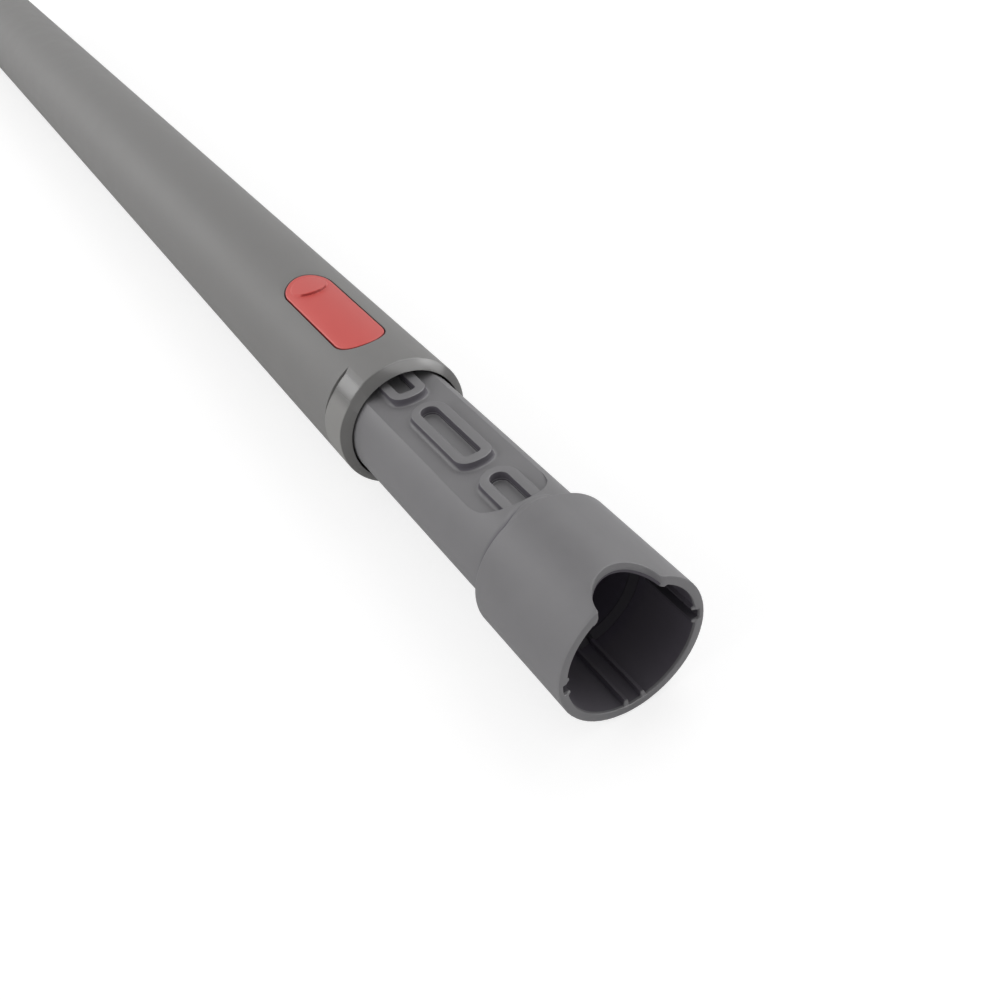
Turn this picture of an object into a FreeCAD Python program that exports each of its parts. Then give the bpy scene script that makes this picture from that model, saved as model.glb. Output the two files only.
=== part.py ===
"""Telescopic vacuum wand, lying with its lane and its red catch on top.

The tube axis runs along X, with the socket cuff at the +X end. A station is a distance along the axis
from the rim of the cuff towards the far end, so the station s is drawn at x = -s, with the axis at
y = z = 0. The finished pieces are then moved, so that the wand lies on the plane z = 0 with the middle
of its length at the origin. All sizes are in millimetres.
"""
import FreeCAD, Part
import math
import os
from FreeCAD import Vector

# Inner tube: section
BORE_RADIUS = 15.9
INNER_WALL = 1.78
LANE_DEPTH = 3.94            # from the crown of the tube down to the floor of the lane
LANE_FLOOR_WALL = 1.5

# Cuff: the socket at the end of the inner tube
SEAT_STEP = 0.9              # the plain seat is this much wider than the bore
SEAT_LENGTH = 12.0
SOCKET_STEP = 1.8            # the keyed socket is this much wider than the seat
SOCKET_DEPTH = 22.0
CUFF_WALL = 2.4
CUFF_LENGTH = 37.2
SHOULDER_LENGTH = 2.6
RAMP_LENGTH = 6.1            # from the back of the cuff to the end of the lane, along the crown
RAMP_RADIUS = 10.5
RAMP_STEP = 0.05             # the ramp starts this far below the cuff
RIM_CHAMFER = 0.4
NOTCH_RADIUS = 8.6

# Ribs and key slots inside the socket, placed by their angle from the crown
RIB_SETBACK = 0.6
NOTCH_RIB_ANGLE = 31.0
NOTCH_RIB_WIDTH = 2.4
NOTCH_RIB_HEIGHT = 0.9
KEY_SLOT_WIDTH = 3.4
KEY_SLOT_DEPTH = 1.1
KEY_SLOT_LENGTH = 18.0
KEY_RIB_WIDTH = 1.0
KEY_RIB_HEIGHT = 0.8
FLOOR_RIB_ANGLE = 8.0
FLOOR_RIB_WIDTH = 1.2
FLOOR_RIB_CLEARANCE = 0.25   # the crests of the floor ribs clear the seat by this much

# Stop blocks in the lane, and the steps of the telescope
FIRST_GAP_SETBACK = 20.3     # from the end of the lane to the middle of the first gap
STOP_PITCH = 37.4
STOP_GAP = 4.6
STOP_HALF_WIDTH = 5.7
STOP_HEIGHT = 2.3
STOP_CORNER = 4.0
STOP_SIDE_WALL = 3.1
STOP_NEAR_WALL = 3.7
STOP_FAR_WALL = 2.5
POCKET_DEPTH = 0.6           # the pockets go this far below the floor of the lane
GAPS_TO_CATCH = 2            # gaps between the cuff and the one that holds the tooth
RETRACT_STEPS = 1
EXTEND_STEPS = 11

# Fits between the tubes
SLIDE_GAP = 0.27             # inner tube in its guide sleeve
SLEEVE_WALL = 1.3
SEAT_FIT = 0.05              # pieces seated in the bore of the outer tube
OUTER_WALL = 1.9
END_CLEARANCE = 0.6          # left at the ends of the travel

# Guide collar: the ring at the mouth of the outer tube and the sleeve behind it
COLLAR_GAP = 0.62            # collar to inner tube
COLLAR_INSET = 0.7           # the band lies this far below the outer tube's surface
COLLAR_BAND = 10.05
BEVEL_LENGTH = 2.9
LIP_WALL = 0.25
SEAM_GAP = 0.25
LEAD_IN = 1.0                # eases the collar's bore down to the sleeve's
TONGUE_HALF_ANGLE = 26.0
TONGUE_SIDE_GAP = 0.3        # degrees to each side of the tongue
MOUTH_BRIDGE = 3.9           # outer tube between its mouth and the catch window
SLEEVE_TAIL = 3.6            # sleeve behind the catch window

# Release catch
CATCH_LENGTH = 52.7
CATCH_HALF_WIDTH = 8.4
CATCH_TIP_FLAT = 0.5         # half the width of the straight bit at the tip of its near end
CATCH_GAP = 0.5
CATCH_CROWN = 2.3            # thickness along the middle
CATCH_SKIN = 2.2             # thickness of the side skirts
SKIRT_INSIDE = 6.2           # half the width between the skirts
TOOTH_SETBACK = 8.2          # from the catch's near end to the middle of the tooth
TOOTH_LENGTH = 3.6
TOOTH_HALF_WIDTH = 4.5
TOOTH_CLEARANCE = 0.3
PAD_RADIUS = 6.2
PAD_RISE = 1.0
LUG_RADIUS = 2.0
LUG_WALL = 2.0

# Catch pin and spring
ROCKER_ARM = 22.1            # from the tooth to the pin
PIN_DROP = 3.8               # pin centre below the crown of the outer tube
PIN_RADIUS = 0.8
PIN_BITE = 1.1               # the pin's hold in each flank of the window
PIN_FIT = 0.02
CATCH_PIN_FIT = 0.06
SPRING_HALF_WIDTH = 3.0
SPRING_THICKNESS = 0.3
SPRING_REACH = 11.0          # free length under the thumb pad
SPRING_BITE = 3.0
SPRING_GAP = 0.1             # spring tip to the underside of the catch
SPRING_FIT = 0.03

# Tail bush and seal
BUSH_LENGTH = 17.0
BUSH_GAP = 0.1               # bush to the bore of the outer tube
BUSH_FIT = 0.02
SEAL_WIDTH = 3.0
SEAL_GAP = 0.03              # seal to the bore of the outer tube
SEAL_FIT = 0.03              # seal to the back of the bush
TAIL_LIP = 2.0               # inner tube behind the seal
LANE_END_BRIDGE = 2.0        # round tube between the end of the lane and the bush

# Spigot at the far end
TAIL_CLEARANCE = 1.6
PLUG_LENGTH = 14.0
NECK_LENGTH = 36.0
NECK_WALL = 1.7
RECESS_SETBACK = 13.0
RECESS_LENGTH = 7.0
RECESS_HALF_WIDTH = 4.0
RECESS_DEPTH = 0.9

# Drawing aids
EMBED = 0.5                  # how far a piece runs into the wall that it grows from
OVERCUT = 2.0                # how far a cutter runs past the wall that it opens
WEDGE_REACH = 3.0            # height of a pie slice, in radii of the outer tube
SEAM_ANGLE = 45.0            # round bars close here, clear of the crown, the sides and the floor
TUBE_SEAM_ANGLE = 184.1      # the outer tube closes just beside the line that it lies on

# Worked-out radii
TUBE_RADIUS = BORE_RADIUS + INNER_WALL
SEAT_RADIUS = BORE_RADIUS + SEAT_STEP
SOCKET_RADIUS = SEAT_RADIUS + SOCKET_STEP
CUFF_RADIUS = SOCKET_RADIUS + CUFF_WALL
SLEEVE_BORE = TUBE_RADIUS + SLIDE_GAP
SLEEVE_RADIUS = SLEEVE_BORE + SLEEVE_WALL
OUTER_BORE = SLEEVE_RADIUS + SEAT_FIT
OUTER_RADIUS = OUTER_BORE + OUTER_WALL
COLLAR_BORE = TUBE_RADIUS + COLLAR_GAP
BAND_RADIUS = OUTER_RADIUS - COLLAR_INSET
NECK_RADIUS = BORE_RADIUS + NECK_WALL

# Worked-out heights above the axis
LANE_FLOOR = TUBE_RADIUS - LANE_DEPTH
LANE_HALF_WIDTH = math.sqrt(TUBE_RADIUS ** 2 - LANE_FLOOR ** 2)
STOP_TOP = LANE_FLOOR + STOP_HEIGHT
POCKET_FLOOR = LANE_FLOOR - POCKET_DEPTH
CATCH_UNDERSIDE = OUTER_RADIUS - CATCH_CROWN
PIN_HEIGHT = OUTER_RADIUS - PIN_DROP

# Worked-out stations
LANE_START = CUFF_LENGTH + RAMP_LENGTH
FIRST_GAP = LANE_START + FIRST_GAP_SETBACK
TOOTH_STATION = FIRST_GAP + GAPS_TO_CATCH * STOP_PITCH
CATCH_NEAR = TOOTH_STATION - TOOTH_SETBACK
CATCH_FAR = CATCH_NEAR + CATCH_LENGTH
PIN_STATION = TOOTH_STATION + ROCKER_ARM
WINDOW_NEAR = CATCH_NEAR - CATCH_GAP
WINDOW_FAR = CATCH_FAR + CATCH_GAP
TUBE_FRONT = WINDOW_NEAR - MOUTH_BRIDGE
BAND_END = TUBE_FRONT - SEAM_GAP
BAND_START = BAND_END - COLLAR_BAND
LIP_STATION = BAND_START - BEVEL_LENGTH
SLEEVE_START = BAND_END + LEAD_IN
SLEEVE_END = WINDOW_FAR + SLEEVE_TAIL
BUSH_START = SLEEVE_END + EXTEND_STEPS * STOP_PITCH + END_CLEARANCE
LANE_END = BUSH_START - LANE_END_BRIDGE
SEAL_START = BUSH_START + BUSH_LENGTH + SEAL_FIT
TAIL_END = SEAL_START + SEAL_WIDTH + TAIL_LIP
PLUG_START = TAIL_END + RETRACT_STEPS * STOP_PITCH + TAIL_CLEARANCE
TUBE_END = PLUG_START + PLUG_LENGTH
WAND_END = TUBE_END + NECK_LENGTH
STOP_COUNT = GAPS_TO_CATCH + EXTEND_STEPS + 1

AXIS = Vector(1, 0, 0)
CENTRE = Vector(0, 0, 0)


def rod(start, end, radius, seam=SEAM_ANGLE):
    """A round bar on the tube axis between two stations."""
    bar = Part.makeCylinder(radius, end - start, Vector(-end, 0, 0), AXIS)
    return around(bar, seam)


def turned(profile):
    """A solid turned about the tube axis, from a closed outline of (station, radius) corners."""
    corners = [Vector(-station, 0, radius) for station, radius in profile]
    face = Part.Face(Part.makePolygon(corners + corners[:1]))
    return face.revolve(CENTRE, AXIS, 360)


def slab(start, end, side_from, side_to, low, high):
    """A box between two stations, two sides and two heights."""
    corner = Vector(-end, side_from, low)
    return Part.makeBox(end - start, side_to - side_from, high - low, corner)


def around(shape, angle):
    """A shape drawn at the crown, carried round the axis by an angle in degrees."""
    turned_shape = shape.copy()
    turned_shape.rotate(CENTRE, AXIS, angle)
    return turned_shape


def wedge(start, end, half_angle):
    """A pie slice about the crown, tall enough to pass through every wall of the wand."""
    reach = WEDGE_REACH * OUTER_RADIUS
    side = reach * math.tan(math.radians(half_angle))
    corners = [Vector(-end, y, z) for y, z in ((0, 0), (side, reach), (-side, reach), (0, 0))]
    return Part.Face(Part.makePolygon(corners)).extrude(AXIS * (end - start))


def plan(near, far, half_width, corner=0.0, round_far=True):
    """A flat outline seen from above.

    The near end is straight between two corners that may be rounded. The far end is a half circle, or
    straight with sharp corners.
    """
    turn = corner * (1 - math.sqrt(0.5))
    side_end = far - half_width if round_far else far

    def at(station, side):
        return Vector(-station, side, 0)

    def line(a, b):
        return Part.LineSegment(at(*a), at(*b)).toShape()

    def arc(a, through, b):
        return Part.Arc(at(*a), at(*through), at(*b)).toShape()

    right, left = half_width, -half_width
    far_right, far_left = (side_end, right), (side_end, left)
    near_right, near_left = (near, right - corner), (near, left + corner)
    edges = [line((near + corner, right), far_right)]
    edges.append(arc(far_right, (far, 0), far_left) if round_far else line(far_right, far_left))
    edges.append(line(far_left, (near + corner, left)))
    if corner:
        edges.append(arc((near + corner, left), (near + turn, left + turn), near_left))
    edges.append(line(near_left, near_right))
    if corner:
        edges.append(arc(near_right, (near + turn, right - turn), (near + corner, right)))
    return Part.Face(Part.Wire(edges))


def prism(face, low, high):
    """A flat outline raised between two heights."""
    base = face.copy()
    base.translate(Vector(0, 0, low))
    return base.extrude(Vector(0, 0, high - low))


def cross_bar(station, height, half_length, radius):
    """A round bar across the wand."""
    return Part.makeCylinder(
        radius, 2 * half_length, Vector(-station, -half_length, height), Vector(0, 1, 0)
    )


def ramp():
    """The tongue that eases the cuff down to the lane: a half disc swept down a straight slope."""
    crown = CUFF_RADIUS - RAMP_STEP
    middle = crown - RAMP_RADIUS
    outline = ((-RAMP_RADIUS, middle), (0, crown), (RAMP_RADIUS, middle))
    corners = [Vector(-CUFF_LENGTH, side, height) for side, height in outline]
    edges = [Part.Arc(*corners).toShape(), Part.LineSegment(corners[2], corners[0]).toShape()]
    slope = Vector(-RAMP_LENGTH, 0, TUBE_RADIUS - CUFF_RADIUS)
    return Part.Face(Part.Wire(edges)).extrude(slope)


def inner_outside():
    """The filled outside of the inner tube: cuff, shoulder, ramp and tube."""
    outside = turned([
        (0, 0),
        (0, CUFF_RADIUS - RIM_CHAMFER),
        (RIM_CHAMFER, CUFF_RADIUS),
        (CUFF_LENGTH, CUFF_RADIUS),
        (CUFF_LENGTH + SHOULDER_LENGTH, TUBE_RADIUS),
        (TAIL_END, TUBE_RADIUS),
        (TAIL_END, 0),
    ])
    return outside.fuse(ramp())


def stop_blocks():
    """The hollow blocks of the lane and their pockets, as two lists of solids."""
    pocket_half_width = STOP_HALF_WIDTH - STOP_SIDE_WALL
    blocks = []
    pockets = []
    for step in range(-1, STOP_COUNT):
        near = FIRST_GAP + step * STOP_PITCH + STOP_GAP / 2
        far = near + STOP_PITCH - STOP_GAP
        pocket_near = near + STOP_NEAR_WALL
        if step < 0:
            # The first block runs out into the end of the lane
            near = LANE_START - STOP_CORNER
            pocket_near = LANE_START
        outline = plan(near, far, STOP_HALF_WIDTH, STOP_CORNER)
        hollow = plan(pocket_near, far - STOP_FAR_WALL, pocket_half_width)
        blocks.append(prism(outline, LANE_FLOOR - EMBED, STOP_TOP))
        pockets.append(prism(hollow, POCKET_FLOOR, STOP_TOP + OVERCUT))
    return blocks, pockets


def socket_rib(angle, width, crest_radius):
    """A rib along the inside of the socket, from near the rim to the step of the seat."""
    end = SOCKET_DEPTH + SOCKET_STEP
    rib = slab(RIB_SETBACK, end, -width / 2, width / 2, crest_radius, SOCKET_RADIUS + EMBED)
    return around(rib, angle)


def socket_ribs():
    """All ribs of the socket: beside the notch, beside the key slots and along the floor."""
    beside_slot = math.degrees((KEY_SLOT_WIDTH + KEY_RIB_WIDTH) / 2 / SOCKET_RADIUS)
    notch_crest = SOCKET_RADIUS - NOTCH_RIB_HEIGHT
    key_crest = SOCKET_RADIUS - KEY_RIB_HEIGHT
    floor_crest = SEAT_RADIUS + FLOOR_RIB_CLEARANCE
    ribs = []
    for side in (-1, 1):
        ribs.append(socket_rib(side * NOTCH_RIB_ANGLE, NOTCH_RIB_WIDTH, notch_crest))
        ribs.append(socket_rib(side * (90 - beside_slot), KEY_RIB_WIDTH, key_crest))
        ribs.append(socket_rib(side * (90 + beside_slot), KEY_RIB_WIDTH, key_crest))
        ribs.append(socket_rib(180 + side * FLOOR_RIB_ANGLE, FLOOR_RIB_WIDTH, floor_crest))
    return ribs


def inner_tube():
    """The sliding tube, one moulding with its cuff, its lane and its stop blocks."""
    lane_plan = plan(LANE_START, LANE_END, LANE_HALF_WIDTH + EMBED, LANE_HALF_WIDTH, round_far=False)
    blocks, pockets = stop_blocks()
    body = inner_outside().cut(prism(lane_plan, LANE_FLOOR, CUFF_RADIUS + OVERCUT))
    body = body.fuse(blocks).cut(pockets)

    bore = rod(SOCKET_DEPTH, TAIL_END + OVERCUT, BORE_RADIUS)
    lane_underside = slab(
        LANE_START - LANE_FLOOR_WALL,
        LANE_END + LANE_FLOOR_WALL,
        -BORE_RADIUS,
        BORE_RADIUS,
        LANE_FLOOR - LANE_FLOOR_WALL,
        BORE_RADIUS + OVERCUT,
    )
    seat_start = SOCKET_DEPTH + SOCKET_STEP
    seat_end = seat_start + SEAT_LENGTH
    socket = turned([
        (-OVERCUT, 0),
        (-OVERCUT, SOCKET_RADIUS),
        (SOCKET_DEPTH, SOCKET_RADIUS),
        (seat_start, SEAT_RADIUS),
        (seat_end, SEAT_RADIUS),
        (seat_end + SEAT_STEP, BORE_RADIUS),
        (seat_end + SEAT_STEP, 0),
    ])
    body = body.cut([bore.cut(lane_underside), socket])
    body = body.fuse(socket_ribs())

    slot = slab(
        -OVERCUT,
        KEY_SLOT_LENGTH,
        -KEY_SLOT_WIDTH / 2,
        KEY_SLOT_WIDTH / 2,
        0,
        SOCKET_RADIUS + KEY_SLOT_DEPTH,
    )
    notch = Part.makeCylinder(NOTCH_RADIUS, CUFF_RADIUS + OVERCUT)
    return body.cut([around(slot, -90), around(slot, 90), notch]).removeSplitter()


def catch_window():
    """The opening for the catch, cut from the crown down to the inner tube."""
    half_width = CATCH_HALF_WIDTH + CATCH_GAP
    outline = plan(WINDOW_NEAR, WINDOW_FAR, half_width, half_width - CATCH_TIP_FLAT)
    return prism(outline, LANE_FLOOR, OUTER_RADIUS + OVERCUT)


def pin_seat():
    """The cross hole that holds the pin in both flanks of the window."""
    half_length = CATCH_HALF_WIDTH + CATCH_GAP + PIN_BITE + PIN_FIT
    return cross_bar(PIN_STATION, PIN_HEIGHT, half_length, PIN_RADIUS + PIN_FIT)


def outer_tube():
    """The outer tube, with its catch window and the tongue that covers the collar at the crown."""
    tongue = wedge(BAND_START, TUBE_FRONT + EMBED, TONGUE_HALF_ANGLE)
    skin = rod(BAND_START, TUBE_END, OUTER_RADIUS, TUBE_SEAM_ANGLE).cut(
        rod(BAND_START - OVERCUT, TUBE_END + OVERCUT, OUTER_BORE)
    )
    mouth = rod(BAND_START - OVERCUT, TUBE_FRONT, OUTER_RADIUS + OVERCUT).cut(tongue)
    return skin.cut([mouth, catch_window(), pin_seat()]).removeSplitter()


def leaf(fit):
    """The leaf spring, grown by a fit: seated level in the sleeve, then rising under the pad."""
    root = WINDOW_FAR
    tip = root - SPRING_REACH
    tip_top = CATCH_UNDERSIDE - SPRING_GAP
    seat_top = (SLEEVE_BORE + SLEEVE_RADIUS + SPRING_THICKNESS) / 2 - SPRING_FIT
    outline = [
        (root + SPRING_BITE + fit, seat_top + fit),
        (root, seat_top + fit),
        (tip - fit, tip_top + fit),
        (tip - fit, tip_top - SPRING_THICKNESS - fit),
        (root, seat_top - SPRING_THICKNESS - fit),
        (root + SPRING_BITE + fit, seat_top - SPRING_THICKNESS - fit),
    ]
    half_width = SPRING_HALF_WIDTH + fit
    corners = [Vector(-station, -half_width, height) for station, height in outline]
    face = Part.Face(Part.makePolygon(corners + corners[:1]))
    return face.extrude(Vector(0, 2 * half_width, 0))


def crown_bevel():
    """The collar's bevel in front of the tongue, which stands as high as the outer tube."""
    ring = turned([
        (LIP_STATION, COLLAR_BORE),
        (LIP_STATION, COLLAR_BORE + LIP_WALL),
        (BAND_START, OUTER_RADIUS),
        (BAND_START, COLLAR_BORE),
    ])
    return ring.common(wedge(LIP_STATION, BAND_START, TONGUE_HALF_ANGLE))


def lane_keys():
    """The two keys of the sleeve, which run along the edges of the lane and keep the tubes in line."""
    window_side = CATCH_HALF_WIDTH + CATCH_GAP
    above_lane = slab(
        SLEEVE_START,
        WINDOW_FAR,
        -SLEEVE_RADIUS,
        SLEEVE_RADIUS,
        LANE_FLOOR + SLIDE_GAP,
        SLEEVE_RADIUS,
    )
    middle = slab(
        SLEEVE_START - OVERCUT,
        WINDOW_FAR + OVERCUT,
        -window_side,
        window_side,
        LANE_FLOOR,
        SLEEVE_RADIUS + OVERCUT,
    )
    filling = rod(SLEEVE_START, WINDOW_FAR, SLEEVE_BORE + SLEEVE_WALL / 2)
    return above_lane.common(filling).cut(middle)


def guide_collar():
    """The bevelled ring at the mouth, let in under the tongue, and the sleeve that guides the tube."""
    ring = turned([
        (LIP_STATION, COLLAR_BORE),
        (LIP_STATION, COLLAR_BORE + LIP_WALL),
        (BAND_START, BAND_RADIUS),
        (BAND_END, BAND_RADIUS),
        (BAND_END, SLEEVE_RADIUS),
        (SLEEVE_END, SLEEVE_RADIUS),
        (SLEEVE_END, SLEEVE_BORE),
        (SLEEVE_START, SLEEVE_BORE),
        (BAND_END, COLLAR_BORE),
    ])
    rebate = wedge(BAND_START, BAND_END + OVERCUT, TONGUE_HALF_ANGLE + TONGUE_SIDE_GAP)
    rebate = rebate.cut(rod(LIP_STATION, SLEEVE_END, SLEEVE_RADIUS))
    body = ring.cut(rebate).fuse([crown_bevel(), lane_keys()])
    return body.cut([catch_window(), pin_seat(), leaf(SPRING_FIT)]).removeSplitter()


def thumb_pad():
    """The raised round pad at the far end of the catch: its top leans down to the far end."""
    centre = CATCH_FAR - CATCH_HALF_WIDTH
    lean = math.atan2(PAD_RISE, 2 * PAD_RADIUS)
    top = rod(PIN_STATION - PAD_RADIUS, CATCH_FAR + PAD_RADIUS, OUTER_RADIUS)
    top.rotate(Vector(-centre - PAD_RADIUS, 0, 0), Vector(0, 1, 0), -math.degrees(lean))
    column = Part.makeCylinder(
        PAD_RADIUS, OUTER_RADIUS, Vector(-centre, 0, CATCH_UNDERSIDE + EMBED)
    )
    return column.common(top)


def release_catch():
    """The red rocker: a skin flush with the tube, side skirts, pin lugs, tooth and thumb pad."""
    outline = plan(CATCH_NEAR, CATCH_FAR, CATCH_HALF_WIDTH, CATCH_HALF_WIDTH - CATCH_TIP_FLAT)
    skin = prism(outline, 0, OUTER_RADIUS + OVERCUT)
    skin = skin.common(rod(CATCH_NEAR, CATCH_FAR, OUTER_RADIUS))
    core = rod(CATCH_NEAR - OVERCUT, CATCH_FAR + OVERCUT, OUTER_RADIUS - CATCH_SKIN)
    tunnel = slab(
        CATCH_NEAR - OVERCUT,
        CATCH_FAR + OVERCUT,
        -SKIRT_INSIDE,
        SKIRT_INSIDE,
        0,
        CATCH_UNDERSIDE,
    )
    skin = skin.cut([core, tunnel])

    tooth = slab(
        TOOTH_STATION - TOOTH_LENGTH / 2,
        TOOTH_STATION + TOOTH_LENGTH / 2,
        -TOOTH_HALF_WIDTH,
        TOOTH_HALF_WIDTH,
        LANE_FLOOR + TOOTH_CLEARANCE,
        CATCH_UNDERSIDE + EMBED,
    )
    lug = cross_bar(PIN_STATION, PIN_HEIGHT, SKIRT_INSIDE + LUG_WALL, LUG_RADIUS)
    lug = lug.fuse(slab(
        PIN_STATION - LUG_RADIUS,
        PIN_STATION + LUG_RADIUS,
        -SKIRT_INSIDE - LUG_WALL,
        SKIRT_INSIDE + LUG_WALL,
        PIN_HEIGHT,
        OUTER_RADIUS - CATCH_SKIN,
    ))
    lugs = lug.cut(tunnel).common(rod(CATCH_NEAR, CATCH_FAR, OUTER_RADIUS - EMBED))
    body = skin.fuse([tooth, lugs, thumb_pad()])
    pin_hole = cross_bar(PIN_STATION, PIN_HEIGHT, OUTER_RADIUS, PIN_RADIUS + CATCH_PIN_FIT)
    return body.cut(pin_hole).removeSplitter()


def catch_pin():
    """The steel pin across the window."""
    half_length = CATCH_HALF_WIDTH + CATCH_GAP + PIN_BITE
    return cross_bar(PIN_STATION, PIN_HEIGHT, half_length, PIN_RADIUS)


def catch_spring():
    """The steel leaf under the thumb pad, which holds the tooth down."""
    return leaf(0.0)


def tail_ring(start, end, radius):
    """A ring carried on the tail of the inner tube."""
    ring = rod(start, end, radius)
    return ring.cut(rod(start - OVERCUT, end + OVERCUT, TUBE_RADIUS + BUSH_FIT))


def tail_bush():
    """The bush on the tail of the inner tube, which rides in the bore of the outer tube."""
    return tail_ring(BUSH_START, BUSH_START + BUSH_LENGTH, OUTER_BORE - BUSH_GAP)


def tail_seal():
    """The soft ring behind the bush, which wipes the bore of the outer tube."""
    return tail_ring(SEAL_START, SEAL_START + SEAL_WIDTH, OUTER_BORE - SEAL_GAP)


def end_spigot():
    """The male end plugged into the outer tube: a plug and a plain neck with a latch recess."""
    body = turned([
        (PLUG_START, BORE_RADIUS),
        (PLUG_START, SLEEVE_RADIUS),
        (TUBE_END, SLEEVE_RADIUS),
        (TUBE_END, NECK_RADIUS),
        (WAND_END, NECK_RADIUS),
        (WAND_END, BORE_RADIUS),
    ])
    recess = slab(
        WAND_END - RECESS_SETBACK - RECESS_LENGTH,
        WAND_END - RECESS_SETBACK,
        -RECESS_HALF_WIDTH,
        RECESS_HALF_WIDTH,
        NECK_RADIUS - RECESS_DEPTH,
        NECK_RADIUS + OVERCUT,
    )
    return body.cut(recess)


PIECES = {
    "inner_tube": inner_tube,
    "outer_tube": outer_tube,
    "guide_collar": guide_collar,
    "release_catch": release_catch,
    "catch_pin": catch_pin,
    "catch_spring": catch_spring,
    "tail_bush": tail_bush,
    "tail_seal": tail_seal,
    "end_spigot": end_spigot,
}


def main():
    """Build every piece, move it to its place on the floor and write it."""
    os.makedirs("parts", exist_ok=True)
    place = Vector(WAND_END / 2, 0, max(OUTER_RADIUS, CUFF_RADIUS))
    for name, build in PIECES.items():
        piece = build()
        piece.translate(place)
        piece.exportStep(f"parts/{name}.step")


main()
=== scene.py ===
"""Looks of the telescopic vacuum wand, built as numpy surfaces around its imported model.

Every new surface is drawn in millimetres in wand coordinates: a station along the axis, counted from the
rim of the cuff towards the far end, a side across the wand and a height above the axis. The function place
carries them into the frame, in metres. Angles run round the axis from the crown towards +Y.
"""
import math

import bmesh
import bpy
import numpy as np
from mathutils import Matrix, Vector


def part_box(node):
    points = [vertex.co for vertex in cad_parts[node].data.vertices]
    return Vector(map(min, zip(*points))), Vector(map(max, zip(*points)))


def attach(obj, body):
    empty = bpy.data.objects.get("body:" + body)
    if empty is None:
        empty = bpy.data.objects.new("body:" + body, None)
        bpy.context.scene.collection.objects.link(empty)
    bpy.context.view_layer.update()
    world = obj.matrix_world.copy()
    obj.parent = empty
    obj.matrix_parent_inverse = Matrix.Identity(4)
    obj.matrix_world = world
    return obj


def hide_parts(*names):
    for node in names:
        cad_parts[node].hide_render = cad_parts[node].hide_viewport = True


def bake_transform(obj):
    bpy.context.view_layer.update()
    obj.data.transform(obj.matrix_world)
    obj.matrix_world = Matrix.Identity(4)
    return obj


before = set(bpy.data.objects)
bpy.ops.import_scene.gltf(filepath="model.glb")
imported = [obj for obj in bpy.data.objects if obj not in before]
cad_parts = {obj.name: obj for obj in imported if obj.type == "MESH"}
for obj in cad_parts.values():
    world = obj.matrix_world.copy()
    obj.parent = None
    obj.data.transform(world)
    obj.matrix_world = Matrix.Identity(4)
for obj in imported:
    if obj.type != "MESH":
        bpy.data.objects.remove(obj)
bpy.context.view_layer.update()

MM = 0.001
# Distances in metres at which points are joined and faces count as flat, and near-equal angles in radians
MERGE_DISTANCE = 2e-6
FLAT_DISTANCE = 1e-7
SAME_ANGLE = 1e-6
# Edges that turn by more than this many degrees stay sharp
SHARP_ANGLE = 32.0
# Floor under the cosine where a flat is carried round the axis
LEAST_COSINE = 0.1
RIM_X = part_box("inner_tube")[1].x
AXIS_Z = (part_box("outer_tube")[0].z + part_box("outer_tube")[1].z) / 2


def station_of(x):
    """Station in millimetres of a place along the frame's X."""
    return (RIM_X - x) / MM


# Sizes read from the frame, in millimetres
OUTER_RADIUS = (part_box("outer_tube")[1].z - AXIS_Z) / MM
CUFF_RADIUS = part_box("inner_tube")[1].y / MM
SLEEVE_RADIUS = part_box("end_spigot")[1].y / MM
TAIL_END = station_of(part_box("inner_tube")[0].x)
TONGUE_FRONT = station_of(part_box("outer_tube")[1].x)
TUBE_END = station_of(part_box("outer_tube")[0].x)
LIP_STATION = station_of(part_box("guide_collar")[1].x)
CATCH_NEAR = station_of(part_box("release_catch")[1].x)
CATCH_FAR = station_of(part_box("release_catch")[0].x)
CATCH_SIDE_TRIM = 0.3
CATCH_HALF_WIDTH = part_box("release_catch")[1].y / MM - CATCH_SIDE_TRIM
PLUG_START = station_of(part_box("end_spigot")[1].x)
WAND_END = station_of(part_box("end_spigot")[0].x)
PIN_STATION = station_of((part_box("catch_pin")[0].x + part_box("catch_pin")[1].x) / 2)
PIN_HEIGHT = ((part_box("catch_pin")[0].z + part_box("catch_pin")[1].z) / 2 - AXIS_Z) / MM
SPRING_TIP = station_of(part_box("catch_spring")[1].x)
SPRING_FAR = station_of(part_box("catch_spring")[0].x)
SPRING_HALF_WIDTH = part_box("catch_spring")[1].y / MM
SPRING_TIP_TOP = (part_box("catch_spring")[1].z - AXIS_Z) / MM
SPRING_SEAT_BOTTOM = (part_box("catch_spring")[0].z - AXIS_Z) / MM

# Inner tube and its cuff
TUBE_RADIUS = 17.68
BORE_RADIUS = 15.9
SEAT_RADIUS = 16.8
SOCKET_RADIUS = 18.6
SOCKET_DEPTH = 22.0
SEAT_START = 23.8
SEAT_END = 35.8
BORE_START = 36.7
CUFF_LENGTH = 37.2
SHOULDER_LENGTH = 2.6
SHOULDER_ROUND = 0.5
RAMP_LENGTH = 6.1
RAMP_RADIUS = 10.5
RAMP_BLEND = 2.2
RIM_ROUND = 0.4
NOTCH_RADIUS = 8.6
NOTCH_CORNER = 0.9
EDGE_SEARCH = (-2.0, 14.0)
EDGE_HALVINGS = 50
# The rim's rounded edges as (inset behind the rim, step from the wall)
RIM_OUTSIDE = ((RIM_ROUND, 0.0), (0.12, 0.1), (0.0, 0.32))
RIM_INSIDE = ((0.0, 0.28), (0.1, 0.08), (0.25, 0.0))

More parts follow.
